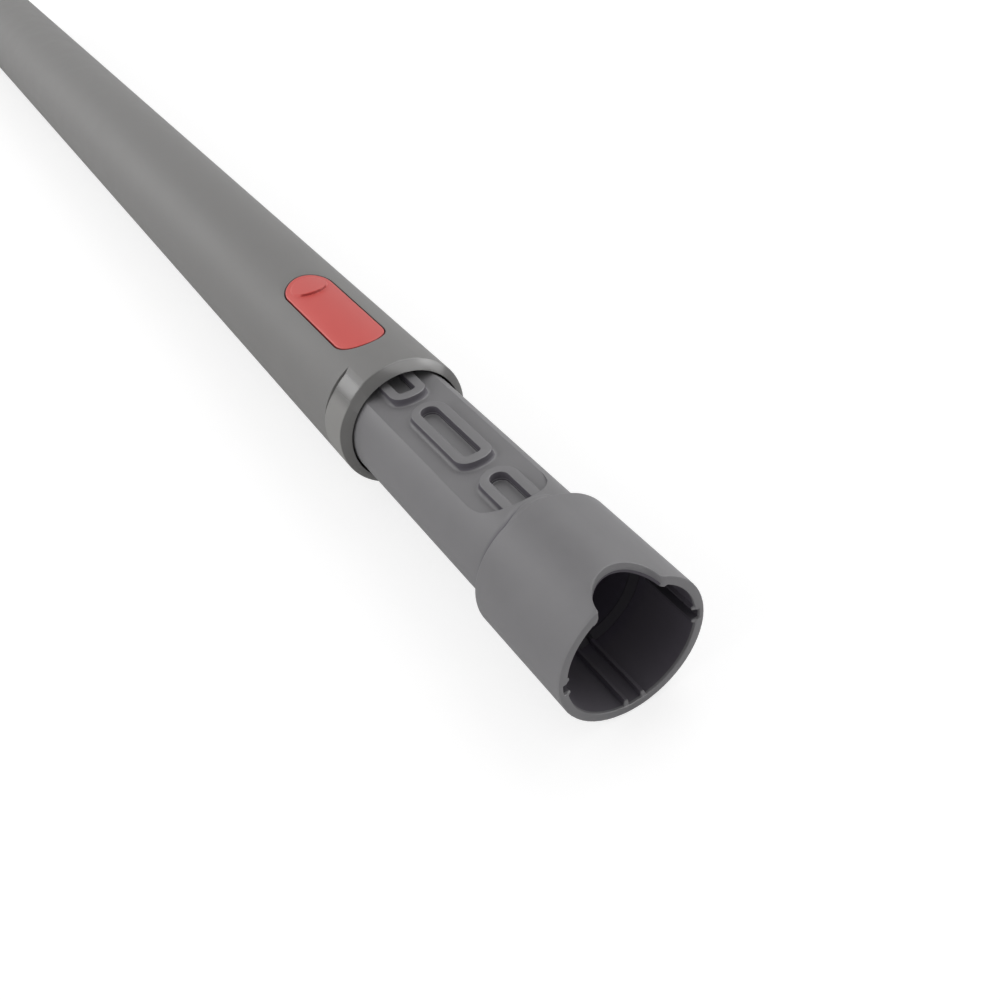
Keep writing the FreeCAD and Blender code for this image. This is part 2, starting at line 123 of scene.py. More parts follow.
# Ribs of the socket as (angle of the middle and half width in degrees, height), the notch's rib and key slots
RIBS = ((83.2, 1.5, 0.8), (96.8, 1.5, 0.8), (172.0, 1.85, 1.55))
RIB_SETBACK = 0.6
RIB_LEAD = 0.35
RIB_FLANK = 0.5
NOTCH_RIB_EDGE = 34.7
NOTCH_RIB_FLANK = 1.5
NOTCH_RIB_HEIGHT = 0.9
KEY_SLOT = 90.0
KEY_SLOT_HALF = 5.2
KEY_SLOT_DEPTH = 1.1
KEY_SLOT_LENGTH = 18.0
KEY_SLOT_RUNOUT = 0.2

# Rows of the cuff as depths behind its rim, which run straight round from the notch's reach on
NOTCH_REACH = 13.0
CUFF_MIDDLE = 16.0
CUFF_DEPTHS = (NOTCH_REACH, 10.0, 7.0, 4.5, 2.5, 1.2)
SOCKET_DEPTHS = (0.43, RIB_SETBACK, 1.0, 2.5, 4.5, 7.0, 10.0, NOTCH_REACH)
SOCKET_DEPTHS += (KEY_SLOT_LENGTH - KEY_SLOT_RUNOUT, KEY_SLOT_LENGTH + KEY_SLOT_RUNOUT)
SOCKET_DEPTHS += (SOCKET_DEPTH, SEAT_START, SEAT_START + 0.4, 30.0, SEAT_END, BORE_START)
BORE_ROW = 40.0
# Columns of the cuff: sides beside the notch in mm, and plain angles in degrees
NOTCH_STEPS = 16
BESIDE_NOTCH = (8.75, 9.0, 9.4, 10.0)
PLAIN_ANGLES = (*range(40, 80, 5), 90, *range(102, 168, 6), 172, 176, 180)
NOTCH_RIB_STEPS = 6
RIB_FLANK_STEPS = 5
COLUMNS_MEET = 75.0
# Rows of the shoulder as stations from the cuff's length on, and the steps of the ramp behind the last one
SHOULDER_ROWS = (-17.2, -9.2, -3.2, -1.0, -0.6, -0.3, -0.1, 0.1, 0.4, 0.8, 1.3, 1.8, 2.2, 2.6, 3.0, 3.4)
RAMP_STEPS = 12

# Lane and stop blocks
LANE_FLOOR = 13.74
LANE_UNDERSIDE = 12.24
LANE_START = CUFF_LENGTH + RAMP_LENGTH
LANE_END = 597.0
LANE_HALF_WIDTH = math.sqrt(TUBE_RADIUS ** 2 - LANE_FLOOR ** 2)
LANE_EDGE_ANGLE = math.asin(LANE_HALF_WIDTH / TUBE_RADIUS)
UNDERSIDE_WALL = 1.5
# The edge over the lane's end wall: its round, the wall height from which it is full, and its middle point
LANE_LIP = 0.35
LANE_LIP_HEIGHT = 0.7
LANE_LIP_MIDDLE = (0.7, 0.3)
FIRST_GAP = LANE_START + 20.3
STOP_PITCH = 37.4
STOP_GAP = 4.6
STOP_COUNT = 14
STOP_HALF_WIDTH = 5.7
STOP_TOP = LANE_FLOOR + 2.3
STOP_EASE = 0.3
STOP_DEPTH = 4.9
STOP_POWER = 2.5
POCKET_HALF_WIDTH = 2.6
POCKET_NEAR_WALL = 3.7
POCKET_FAR_WALL = 2.5
POCKET_DEPTH = 1.3
POCKET_POWER = 3.2
POCKET_FLOOR = LANE_FLOOR - 0.6
# A block's wall as (step inwards from its outline, height): the feet from the floor, the head from the top
FOOT = ((-1.25, 0.0), (-1.0, 0.0), (-0.62, 0.08), (-0.3, 0.28), (-0.1, 0.62), (0.0, 1.1))
POCKET_FOOT = ((-0.24, 0.0), (-0.12, 0.03), (-0.04, 0.11), (0.0, 0.24))
HEAD = ((0.08, -0.34), (0.13, -0.14), (0.26, -0.03), (0.42, 0.0))

# Outer tube, collar and spigot
OUTER_BORE = 19.3
TUBE_FRONT = 125.8
PATCH_END = 200.0
SEAM_GAP = 0.25
BAND_END = TUBE_FRONT - SEAM_GAP
SLEEVE_SETBACK = 0.02
TONGUE_ANGLE = math.radians(26.0)
TONGUE_STEP = math.radians(0.2)
# Rounded edges: the window's and the tube end's as (step from the edge, drop)
WINDOW_EDGE_START = 0.22
WINDOW_EDGE = ((0.06, 0.05), (0.0, 0.2))
TUBE_END_EDGE = ((0.4, 0.0), (0.1, 0.1), (0.0, 0.4))
# Angles towards -Y between which the collar's band sinks in and rises again, and its seam opens and closes
SUNK_DEPTH = 0.5
SUNK = (26.0, 34.0, 48.0, 76.0)
SEAM = (26.0, 32.0, 50.0, 74.0)
COLLAR_BORE = 18.3
# The collar's front as (station behind the lip, step from the bore), then (before the tongue, below the band)
LIP_EDGE = ((0.15, 0.0), (0.0, 0.12), (0.05, 0.25))
BEVEL_EDGE = ((0.25, 0.22), (0.08, 0.06))
BAND_START = 0.2
BAND_SEAT = 0.3
BAND_EDGE_SHUT = 0.02
BAND_EDGE_OPEN = 0.2
NECK_RADIUS = 17.6
RECESS_NEAR = WAND_END - 20.0
RECESS_FAR = WAND_END - 13.0
RECESS_HALF_WIDTH = 4.0
RECESS_FLOOR = NECK_RADIUS - 0.9
RECESS_DRAFT = 0.05
NECK_END_EDGE = ((0.6, 0.0), (0.18, 0.18), (0.0, 0.6))

# Catch
WINDOW_GAP = 0.36
CATCH_DEPTH = 8.0
# The catch's plan: its ends, half width, and the depth and power of its near end
CATCH_PLAN = (CATCH_NEAR, CATCH_FAR, CATCH_HALF_WIDTH, CATCH_DEPTH, 2.0)
SKIRT_BOTTOM = OUTER_RADIUS - 2.2
CATCH_UNDERSIDE = OUTER_RADIUS - 2.3
SKIRT_INSIDE = 6.2
PAD_STATION = CATCH_FAR - CATCH_HALF_WIDTH
PAD_RADIUS = 6.2
PAD_RISE = 1.0
PAD_ROUND = 0.35
TOOTH_STATION = CATCH_NEAR + 8.2
TOOTH_HALF_LENGTH = 1.8
TOOTH_HALF_WIDTH = 4.5
TOOTH_TIP = LANE_FLOOR + 0.3
TOOTH_ROUND = 0.5
TOOTH_ROOT = CATCH_UNDERSIDE + 0.3
LUG_RADIUS = 2.0
LUG_OUTSIDE = 8.0
SPRING_THICKNESS = 0.3
SPRING_FREE_THICKNESS = 0.2
SPRING_BITE = 3.0
SPRING_CLEARANCE = 0.06
SPRING_BEND_PAST = 0.02
# The catch's edges as (step in from the outline, rise from the top or from the underside)
CATCH_TOP_EDGE = ((0.4, 0.0), (0.17, -0.07), (0.05, -0.2), (0.0, -0.42))
CATCH_FOOT_EDGE = ((0.0, 0.15), (0.15, 0.0))

# Steps of the half outlines: near end, straight side and far quarter circle
STOP_STEPS = (16, 10, 16)
WINDOW_STEPS = (20, 14, 16)
CATCH_STEPS = (30, 100, 40)
# How the steps of the catch's side gather, and the steps of its tooth's corner, its lugs and its spring
CATCH_GATHER = 1.5
TOOTH_STEPS = 5
LUG_STEPS = 16
SPRING_STEPS = (12, 8)
# The half block's straight side and far quarter circle, and the rings of floor round it
ARM_STEPS = (8, 16)
ARM_FLOOR_RINGS = 13
# Columns across the flat fills and round the tubes, and rings round the window
ARM_POCKET_COLUMNS = 6
POCKET_COLUMNS = 8
CATCH_COLUMNS = 64
TUBE_COLUMNS = 45
BORE_COLUMNS = (6, 40)
OUTER_COLUMNS = 65
TONGUE_COLUMNS = 4
WINDOW_RINGS = 5
COLLAR_COLUMNS = (10, 64)
SPIGOT_COLUMNS = (7, 50)
# Angles in radians beside the latch recess: the foot of its flank, and the first plain column
RECESS_COLUMNS = (0.004, 0.06)

# Finishes: dark and light screen colour, range of roughness, grain depth in mm, specular level and metallic
FINISHES = {
    "inner_grey": ((112, 111, 113), (124, 123, 125), (0.42, 0.52), 0.012, 0.5, 0.0),
    "outer_grey": ((116, 115, 114), (127, 126, 125), (0.54, 0.64), 0.02, 0.5, 0.0),
    "collar_grey": ((96, 95, 94), (100, 99, 98), (0.24, 0.26), 0.001, 0.5, 0.0),
    "catch_red": ((210, 87, 82), (217, 95, 90), (0.36, 0.42), 0.006, 0.3, 0.0),
    "bush_white": ((214, 213, 208), (224, 223, 219), (0.35, 0.45), 0.005, 0.5, 0.0),
    "seal_black": ((28, 28, 30), (36, 36, 38), (0.55, 0.7), 0.02, 0.5, 0.0),
    "steel": ((150, 150, 152), (185, 185, 187), (0.25, 0.4), 0.004, 0.5, 1.0),
}
PLASTIC_IOR = 1.48
# Noises of the moulded grain, with their detail, roughness and scale, and the mottle's useful range
NOISES = {"Mottle": (3.0, 0.6, 70.0), "Grain": (2.0, 0.7, 2600.0)}
MOTTLE_RANGE = (0.3, 0.7)
# Masks are spans of (place, from, to), and each fades in as the place goes from one value to the other
# Painted shade inside the socket: its wall behind the rim is darker, darker still deeper in, and darkest at
# the step to the seat
SOCKET_SHADE = (("Radius", 18.85, 18.65), ("Station", 42.0, 38.0), ("Station", 0.7, 1.1))
SOCKET_DEEP_SHADE = (*SOCKET_SHADE, ("Station", 17.0, 21.5))
SOCKET_STEP_SHADE = (*SOCKET_SHADE, ("Station", 21.7, 22.0), ("Station", 24.2, 23.9))
# Painted shade in the key slots on both sides of the socket
SLOT_SHADE = (("Radius", 20.4, 20.2), ("Station", 0.7, 1.1), ("Station", 19.0, 18.5))
LEFT_SLOT_SHADE = (*SLOT_SHADE, ("Angle", -80.0, -83.0), ("Angle", -100.0, -97.0))
RIGHT_SLOT_SHADE = (*SLOT_SHADE, ("Angle", 80.0, 83.0), ("Angle", 100.0, 97.0))
ON_LANE = (("Station", 43.0, 43.6), ("Radius", 17.3, 17.1))
# Painted shade on the walls of the stop blocks, where shade falls in the lane
STOP_WALL_SHADE = (*ON_LANE, ("Height", 13.77, 14.05), ("Height", 16.0, 15.8))
STOP_WALL_SHADE += (("Angle", -22.8, -20.6), ("Angle", 22.8, 20.6))
# Painted shade on the walls of the pockets
POCKET_WALL_SHADE = (*ON_LANE, ("Height", 13.2, 13.36), ("Height", 13.72, 13.68))
# Painted light: the pockets' floors are painted lighter to make up for the shade that falls in them
POCKET_FLOOR_LIGHT = (*ON_LANE, ("Height", 13.0, 13.1), ("Height", 13.2, 13.16))
BAND_FLUSH = (("Station", 115.2, 115.5), ("Angle", -34.0, -26.0), ("Angle", 160.0, 120.0))
# The band's -Y flank takes a matte finish, and its lighter grey there is painted light
MATTE_FLANK_PAINTED_LIGHT = (("Station", 115.2, 115.5), ("Angle", -44.0, -58.0))
# Painted shade on the catch's side walls, which sit in the window's gap, and on the wall of the pad's step
CATCH_WALL_SHADE = (("Radius", 21.1, 21.0),)
PAD_STEP_SHADE = (("Radius", 21.22, 21.35), ("Radius", 21.98, 21.8))
PAD_STEP_SHADE += (("Station", PAD_STATION - 3.5, PAD_STATION - 4.5),)
# Repaints of the finishes in their order: mask, screen colour and roughness. Most are painted shade in
# recesses and gaps, the pocket floors and the collar's -Y flank are painted light, and the collar's band also
# changes finish
SHADE_LIGHT_AND_FINISH_REPAINTS = {
    "inner_grey": (
        # Painted shade inside the socket, deeper in and at its step
        (SOCKET_SHADE, (76, 72, 80), 0.6),
        (SOCKET_DEEP_SHADE, (70, 65, 77), 0.8),
        (SOCKET_STEP_SHADE, (40, 37, 44), 0.8),
        # Painted shade in the key slots
        (LEFT_SLOT_SHADE, (60, 57, 64), 0.8),
        (RIGHT_SLOT_SHADE, (60, 57, 64), 0.8),
        # Painted shade on the stop blocks' walls
        (STOP_WALL_SHADE, (78, 75, 82), 0.7),
        # Painted shade on the pockets' walls
        (POCKET_WALL_SHADE, (78, 75, 82), 0.7),
        # Painted light on the pockets' floors
        (POCKET_FLOOR_LIGHT, (136, 135, 137), 0.5),
    ),
    # The band turns matte round the crown like the tongue; its -Y flank is matte too and painted lighter, as
    # painted light
    "collar_grey": ((BAND_FLUSH, (121, 120, 119), 0.55), (MATTE_FLANK_PAINTED_LIGHT, (136, 135, 133), 0.5)),
    # Painted shade on the catch's side walls and its pad's step
    "catch_red": ((CATCH_WALL_SHADE, (128, 36, 33), 0.7), (PAD_STEP_SHADE, (156, 44, 40), 0.7)),
}
# Lamps: place and size in metres, power in watts, and whether one only gives a sheen
LAMPS = {
    "key": ((-0.2, 0.9, 1.2), 1.0, 5.0, False),
    "left": ((0.1, -1.2, 0.7), 1.0, 4.5, False),
    "sheen_top": ((0.76, 0.88, 0.97), 1.5, 24.0, True),
    "sheen_back": ((-0.8, -0.55, 0.6), 0.5, 3.2, True),
    "sheen_right": ((0.51, 1.35, 0.4), 0.8, 8.0, True),
}
# The floor's reach in metres, its colour and glow, and the surround's fill by height and mirrored white
FLOOR_REACH = 8.0
FLOOR_WHITE = (0.9, 0.9, 0.9, 1.0)
FLOOR_GLOW = 0.5
FLOOR_GLOW_STRENGTH = 1.42
FILL_HEIGHTS = (0.1, 0.9)
FILL_TOP = 0.54
FILL_SIDE = 1.05
MIRRORED_WHITE = 0.8
# Camera, from the middle of the cuff's rim in millimetres, with its right and forward directions
CAMERA_FROM_RIM = (140.7, -98.1, 197.1)
CAMERA_RIGHT = Vector((0.52362, 0.84467, -0.11121))
CAMERA_FORWARD = Vector((-0.68089, 0.33646, -0.65053))
LENS = 39.76
CLIP_START = 0.01


def place(station, side, height):
    """Carries wand coordinates in millimetres into the frame: an array of points in metres."""
    station, side, height = np.broadcast_arrays(station, side, height)
    return np.stack([RIM_X - station * MM, side * MM, AXIS_Z + height * MM], axis=-1)


def on_round(station, angle, radius):
    """Points at a station, an angle and a radius."""
    return place(station, radius * np.sin(angle), radius * np.cos(angle))


def smooth_step(value, start, end):
    """Rises from 0 at start to 1 at end with level ends: t squared times 3 minus 2 t."""
    t = np.clip((value - start) / (end - start), 0, 1)
    return t * t * (3 - 2 * t)


def fall(value, middle, flank):
    """Falls from 1 to 0 with level ends, from a flank before a middle to a flank behind it."""
    return 1 - smooth_step(value, middle - flank, middle + flank)


def soft_max(a, b, width):
    """The larger of two values, with the corner between them rounded over a width."""
    share = np.clip(0.5 + 0.5 * (a - b) / width, 0, 1)
    return b + (a - b) * share + width * share * (1 - share)


def soft_min(a, b, width):
    """The smaller of two values, with the corner between them rounded over a width."""
    return -soft_max(-a, -b, width)


def both_sides(angles):
    """Angles from the crown to the floor, and their mirror images, as one row round the tube."""
    angles = np.asarray(angles, float)
    return np.concatenate([-angles[:0:-1], angles])


class Skin:
    """Collects the grids and stitched strips of one piece, which then become one closed mesh."""

    def __init__(self):
        self.points = []
        self.faces = []
        self.count = 0

    def add(self, points, faces):
        """Takes points and faces of four corners. A triangle repeats its last corner."""
        flat = points.reshape(-1, 3)
        self.points.append(flat)
        self.faces.append(faces.reshape(-1, 4) + self.count)
        self.count += len(flat)

    def grid(self, points, around=False):
        """Quads between the rows and columns of an array of points, closed round its columns if asked."""
        rows, columns = points.shape[:2]
        index = np.arange(rows * columns).reshape(rows, columns)
        if around:
            index = np.concatenate([index, index[:, :1]], axis=1)
        quads = [index[:-1, :-1], index[:-1, 1:], index[1:, 1:], index[1:, :-1]]
        self.add(points, np.stack(quads, axis=-1))

    def stitch(self, first, second, first_at, second_at):
        """Triangles between two rows of unlike counts, taken in the order of their steps' middles."""
        first_middle = (first_at[:-1] + first_at[1:]) / 2
        second_middle = (second_at[:-1] + second_at[1:]) / 2
        i = np.arange(len(first_middle))
        j = np.arange(len(second_middle)) + len(first)
        over = np.searchsorted(second_middle, first_middle, side="left") + len(first)
        back = np.searchsorted(first_middle, second_middle, side="right")
        from_first = np.stack([i, i + 1, over, over], axis=-1)
        from_second = np.stack([back, j + 1, j, j], axis=-1)
        self.add(np.concatenate([first, second]), np.concatenate([from_first, from_second]))

    def piece(self, name, body, slot, *replaced):
        """Joins the collected faces into one mesh and hangs it on its body, if it has one."""
        points = np.concatenate(self.points)
        faces = np.concatenate(self.faces)
        corners = np.where(faces[:, 2] == faces[:, 3], 3, 4)
        kept = np.arange(4)[None, :] < corners[:, None]
        starts = np.cumsum(corners) - corners
        mesh = bpy.data.meshes.new(name)
        mesh.vertices.add(len(points))
        mesh.vertices.foreach_set("co", points.astype(np.float32).ravel())
        mesh.loops.add(int(corners.sum()))
        mesh.loops.foreach_set("vertex_index", faces[kept].astype(np.int32))
        mesh.polygons.add(len(faces))
        mesh.polygons.foreach_set("loop_start", starts.astype(np.int32))
        mesh.update(calc_edges=True)
        return hang(name, mesh, body, replaced)


def linked(name, data):
    """A new object of the scene."""
    made = bpy.data.objects.new(name, data)
    bpy.context.scene.collection.objects.link(made)
    return made


def hang(name, mesh, body, replaced):
    """Closes a mesh's seams, turns its faces outwards, smooths all but its sharp edges and places it."""
    work = bmesh.new()
    work.from_mesh(mesh)
    bmesh.ops.remove_doubles(work, verts=work.verts, dist=MERGE_DISTANCE)
    bmesh.ops.dissolve_degenerate(work, edges=work.edges, dist=FLAT_DISTANCE)
    bmesh.ops.recalc_face_normals(work, faces=work.faces)
    work.to_mesh(mesh)
    work.free()
    mesh.shade_smooth()
    mesh.set_sharp_from_angle(angle=math.radians(SHARP_ANGLE))
    piece = linked(name, mesh)
    if body:
        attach(piece, body)
    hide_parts(*replaced)
    return piece


def half_plan(inset, near, far, half_width, depth, power, steps, gather=1.0):
    """Half of a flat outline, moved inwards, from the tip of its near end round the +Y side to its far end.

    The near end is a quarter of a superellipse with a depth and a power. Then come a straight side, whose
    steps gather towards its far end, and a quarter circle as wide as the outline.
    """
    near, far, half_width, depth = near + inset, far - inset, half_width - inset, depth - inset
    tip, straight, arc = steps
    a = np.linspace(0, np.pi / 2, tip + 1)[:-1]
    u = 1 - (1 - np.linspace(0, 1, straight + 1)[:-1]) ** gather
    b = np.linspace(0, np.pi / 2, arc + 1)
    side_end = far - half_width
    station = np.concatenate([
        near + depth * (1 - np.cos(a) ** (2 / power)),
        near + depth + u * (side_end - near - depth),
        side_end + half_width * np.sin(b),
    ])
    side = np.concatenate([
        half_width * np.sin(a) ** (2 / power),
        np.full(straight, half_width),
        half_width * np.cos(b),
    ])
    return station, side


def ring(station, side, height):
    """Closes a half outline with its mirror image, as a ring of points in the frame."""
    return np.concatenate([place(station, side, height), place(station, -side, height)[-2:0:-1]])


def open_ring(station, side, height):
    """A half outline and its mirror image, from the -Y start round the far end to the +Y start."""
    return np.concatenate([place(station, -side, height), place(station, side, height)[-2::-1]])


def filled(station, side, columns):
    """Stations and sides of rows that fill a half outline and its mirror image, from -Y to +Y."""
    return station[:, None], side[:, None] * np.linspace(-1, 1, columns + 1)


def framed(steps):
    """Rows of a half outline's straight-sided frame.

    Returns the rows, the first and last of those along its side, and each one's share of its half width.
    """
    near, far = steps[0] // 2, steps[2] // 2
    rows = np.arange(sum(steps) + 1)
    after = len(rows) - 1 - rows
    return rows, near, len(rows) - 1 - far, np.clip(np.minimum(rows / near, after / far), 0, 1)


def turned(profile, angles):
    """Rows of points from a turned profile, given as stations and radii."""
    return np.stack([on_round(station, angles, radius) for station, radius in profile])


def with_flat(radius, height, angles):
    """Radius of a round that is cut flat at a height."""
    return np.minimum(radius, height / np.maximum(np.cos(angles), LEAST_COSINE))


def edge_station(side, inset):
    """Station of the cuff's rim at a side, moved into the wall by an inset.

    The wall lies behind the rim and outside the notch's circle: the smaller of the station and the distance
    from that circle, with a rounded corner between them, equals the inset. It is found by halving.
    """
    side = np.asarray(side, float)
    low, high = (np.full(side.shape, limit) for limit in EDGE_SEARCH)
    for _ in range(EDGE_HALVINGS):
        middle = (low + high) / 2
        depth = soft_min(middle, np.hypot(middle, side) - NOTCH_RADIUS, NOTCH_CORNER)
        low = np.where(depth < inset, middle, low)
        high = np.where(depth < inset, high, middle)
    return (low + high) / 2


def outside_radius(station, angle):
    """Radius of the inner tube's outside: cuff, shoulder and tube, joined to the ramp at the crown.

    The shoulder is a straight fall, and the ramp a circle that rides down a gentler one. The larger of the
    two, held between the radii of the cuff and the tube, is taken with every corner rounded.
    """
    fall = CUFF_RADIUS - TUBE_RADIUS
    behind = station - CUFF_LENGTH
    shoulder = CUFF_RADIUS - fall * behind / SHOULDER_LENGTH
    middle = CUFF_RADIUS - fall * behind / RAMP_LENGTH - RAMP_RADIUS
    reach = RAMP_RADIUS ** 2 - (middle * np.sin(angle)) ** 2
    hump = middle * np.cos(angle) + np.sqrt(np.maximum(reach, 0))
    over_crown = (reach > 0) & (np.abs(angle) < np.pi / 2)
    slope = soft_max(shoulder, np.where(over_crown, hump, 0), RAMP_BLEND)
    return soft_max(TUBE_RADIUS, soft_min(CUFF_RADIUS, slope, SHOULDER_ROUND), SHOULDER_ROUND)


def lane_end_station(side):
    """Station of the lane's near end at a side: a half circle as wide as the lane."""
    beyond = np.clip(np.abs(side), 0, LANE_HALF_WIDTH)
    return LANE_START + LANE_HALF_WIDTH - np.sqrt(LANE_HALF_WIDTH ** 2 - beyond ** 2)


def angle_band(angle, middle, half):
    """1 within half a width of a middle angle in degrees, on both sides of the crown, with sloped flanks."""
    return fall(np.abs(np.degrees(np.abs(angle)) - middle), half, RIB_FLANK)


def key_slot(angle):
    """Depth of the key slots at an angle."""
    return KEY_SLOT_DEPTH * angle_band(angle, KEY_SLOT, KEY_SLOT_HALF)


def socket_radius(station, angle):
    """Radius of the socket's inside: a stepped bore with its ribs standing in and its key slots cut out."""
    steps = ([0, SOCKET_DEPTH, SEAT_START, SEAT_END, BORE_START],
             [SOCKET_RADIUS, SOCKET_RADIUS, SEAT_RADIUS, SEAT_RADIUS, BORE_RADIUS])
    base = np.interp(station, *steps)
    rib = NOTCH_RIB_HEIGHT * fall(np.degrees(np.abs(angle)), NOTCH_RIB_EDGE, NOTCH_RIB_FLANK)
    for middle, half, height in RIBS:
        rib = np.maximum(rib, height * angle_band(angle, middle, half))
    rib = rib * smooth_step(station, RIB_SETBACK - RIB_LEAD, RIB_SETBACK)
    slot = key_slot(angle) * fall(station, KEY_SLOT_LENGTH, KEY_SLOT_RUNOUT)
    return np.minimum(base, SOCKET_RADIUS - rib) + slot


def cuff_columns():
    """Angles round the cuff, as (outside, inside): close together at the notch, the ribs and the slots."""
    notch = NOTCH_RADIUS * np.sin(np.radians(np.linspace(0, 90, NOTCH_STEPS)))
    sides = np.concatenate([notch, BESIDE_NOTCH])
    inside = np.degrees(np.arcsin(sides / SOCKET_RADIUS))
    outside = np.degrees(np.arcsin(sides / CUFF_RADIUS))
    lobe = NOTCH_RIB_EDGE + np.linspace(-NOTCH_RIB_FLANK, NOTCH_RIB_FLANK, NOTCH_RIB_STEPS)
    marks = [(KEY_SLOT, KEY_SLOT_HALF), *(rib[:2] for rib in RIBS)]
    flanks = np.linspace(-RIB_FLANK, RIB_FLANK, RIB_FLANK_STEPS)
    edges = [middle + way * half + flanks for middle, half in marks for way in (-1, 1)]
    rest = np.unique(np.round(np.concatenate([lobe, PLAIN_ANGLES, *edges]), 3))
    gap = inside[-1] - outside[-1]
    inside = np.concatenate([inside, rest])
    apart = gap * (1 - smooth_step(rest, inside[len(sides) - 1], COLUMNS_MEET))
    outside = np.concatenate([outside, rest - apart])
    return both_sides(np.radians(outside)), both_sides(np.radians(inside))


def rim_and_socket(skin):
    """The cuff's rim with its notch, its outside up to the middle and its inside down to the bore.

    Returns the last outside and inside rows with their angles. Rows near the rim follow its edge and
    straighten out within the depth of the notch.
    """
    outside, inside = cuff_columns()

    def rim(radius, angle, inset):
        side = np.where(np.cos(angle) > 0, radius * np.sin(angle), CUFF_RADIUS)
        return edge_station(side, inset)

    def row(radius, angle, inset):
        return on_round(rim(radius, angle, inset), angle, radius)

    def eased(angle, radius, depth):
        edge = rim(radius, angle, RIM_ROUND)
        share = np.clip((depth - RIM_ROUND) / (NOTCH_REACH - RIM_ROUND), 0, 1)
        return np.where(depth < NOTCH_REACH, edge + share * (NOTCH_REACH - edge), depth)

    rows = [on_round(CUFF_MIDDLE, outside, CUFF_RADIUS)]
    for depth in CUFF_DEPTHS:
        rows.append(on_round(eased(outside, CUFF_RADIUS, depth), outside, CUFF_RADIUS))
    for inset, step in RIM_OUTSIDE:
        rows.append(row(CUFF_RADIUS - step, outside, inset))
    for inset, step in RIM_INSIDE:
        rows.append(row(SOCKET_RADIUS + key_slot(inside) + step, inside, inset))
    for depth in SOCKET_DEPTHS:
        station = eased(inside, SOCKET_RADIUS, depth)
        rows.append(on_round(station, inside, socket_radius(station, inside)))
    skin.grid(np.stack(rows))
    return rows[0], outside, rows[-1], inside


def tube_angles():
    """Angles of the plain tube beside the lane, on its +Y side from the lane's edge to the floor."""
    return np.linspace(LANE_EDGE_ANGLE, np.pi, TUBE_COLUMNS)


def block_wall(closed, outline, pocket):
    """Rings that climb a block's wall from its foot, go over its top and down to its pocket's floor."""
    walls = [(outline(step), LANE_FLOOR + rise) for step, rise in FOOT]
    walls += [(outline(step), STOP_TOP + drop) for step, drop in HEAD]
    walls += [(pocket(step), STOP_TOP + drop) for step, drop in HEAD[::-1]]
    walls += [(pocket(step), POCKET_FLOOR + rise) for step, rise in POCKET_FOOT[::-1]]
    return [closed(*plan, height) for plan, height in walls]


def first_stop(skin):
    """The half block at the lane's near end, with the floor round it, as arms that run out into the end wall.

    Returns the crown's points along the foot of the end wall, from -Y to +Y, and the stations of the lane's
    edge up to the first gap.
    """
    straight, arc = ARM_STEPS
    far = FIRST_GAP - STOP_GAP / 2
    rows = np.arange(straight + arc + 1)
    on_edge = straight + arc // 2
    edge_start = float(lane_end_station(LANE_HALF_WIDTH))
    marks = [edge_start, far - STOP_HALF_WIDTH, FIRST_GAP]
    edge_row = np.interp(rows, [0, straight, on_edge], marks)
    edge_side = LANE_HALF_WIDTH * np.clip((len(rows) - 1 - rows) / (arc - arc // 2), 0, 1)

    def arms(half_width, tip):
        near = float(lane_end_station(half_width))
        return half_plan(0.0, near, tip, half_width, 0.0, 1.0, (0, *ARM_STEPS))

    def outline(step):
        return arms(STOP_HALF_WIDTH - step, far - step)

    def pocket(step):
        return arms(POCKET_HALF_WIDTH + step, far - POCKET_FAR_WALL + step)

    foot_station, foot_side = outline(FOOT[0][0])
    levels = []
    for share in np.linspace(0, 1, ARM_FLOOR_RINGS + 1)[:-1] ** 2:
        side = edge_side + share * (foot_side - edge_side)
        station = edge_row + share * (foot_station - edge_row)
        shift = lane_end_station(side[0]) - station[0]
        station = station + shift * np.clip(1 - rows / straight, 0, 1)
        levels.append(open_ring(station, side, LANE_FLOOR))
    levels = np.stack(levels + block_wall(open_ring, outline, pocket))
    skin.grid(levels)
    floor = place(*filled(*pocket(POCKET_FOOT[0][0]), ARM_POCKET_COLUMNS), POCKET_FLOOR)
    skin.grid(floor)
    foot_of_wall = np.concatenate([levels[:, 0], floor[0, 1:-1], levels[::-1, -1]])
    return foot_of_wall, edge_row[: on_edge + 1]


def stop_cell(skin, near):
    """One hollow stop block and the lane's floor round it.

    Returns the stations of the lane's edge along the cell.
    """
    tip, straight, _ = STOP_STEPS
    far = near + STOP_PITCH - STOP_GAP
    rows, first, last, share = framed(STOP_STEPS)
    marks = [first, tip, tip + straight, last]
    stations = [near - STOP_GAP / 2, near + STOP_DEPTH, far - STOP_HALF_WIDTH, far + STOP_GAP / 2]
    edge_stations = np.interp(rows, marks, stations)

    def outline(step):
        size = (STOP_HALF_WIDTH, STOP_DEPTH - STOP_EASE, STOP_POWER)
        return half_plan(step, near + STOP_EASE, far, *size, STOP_STEPS)

    def pocket(step):
        size = (POCKET_HALF_WIDTH, POCKET_DEPTH, POCKET_POWER)
        return half_plan(-step, near + POCKET_NEAR_WALL, far - POCKET_FAR_WALL, *size, STOP_STEPS)

    rings = [ring(edge_stations, LANE_HALF_WIDTH * share, LANE_FLOOR), *block_wall(ring, outline, pocket)]
    skin.grid(np.stack(rings), around=True)
    skin.grid(place(*filled(*pocket(POCKET_FOOT[0][0]), POCKET_COLUMNS), POCKET_FLOOR))
    return edge_stations[first : last + 1]


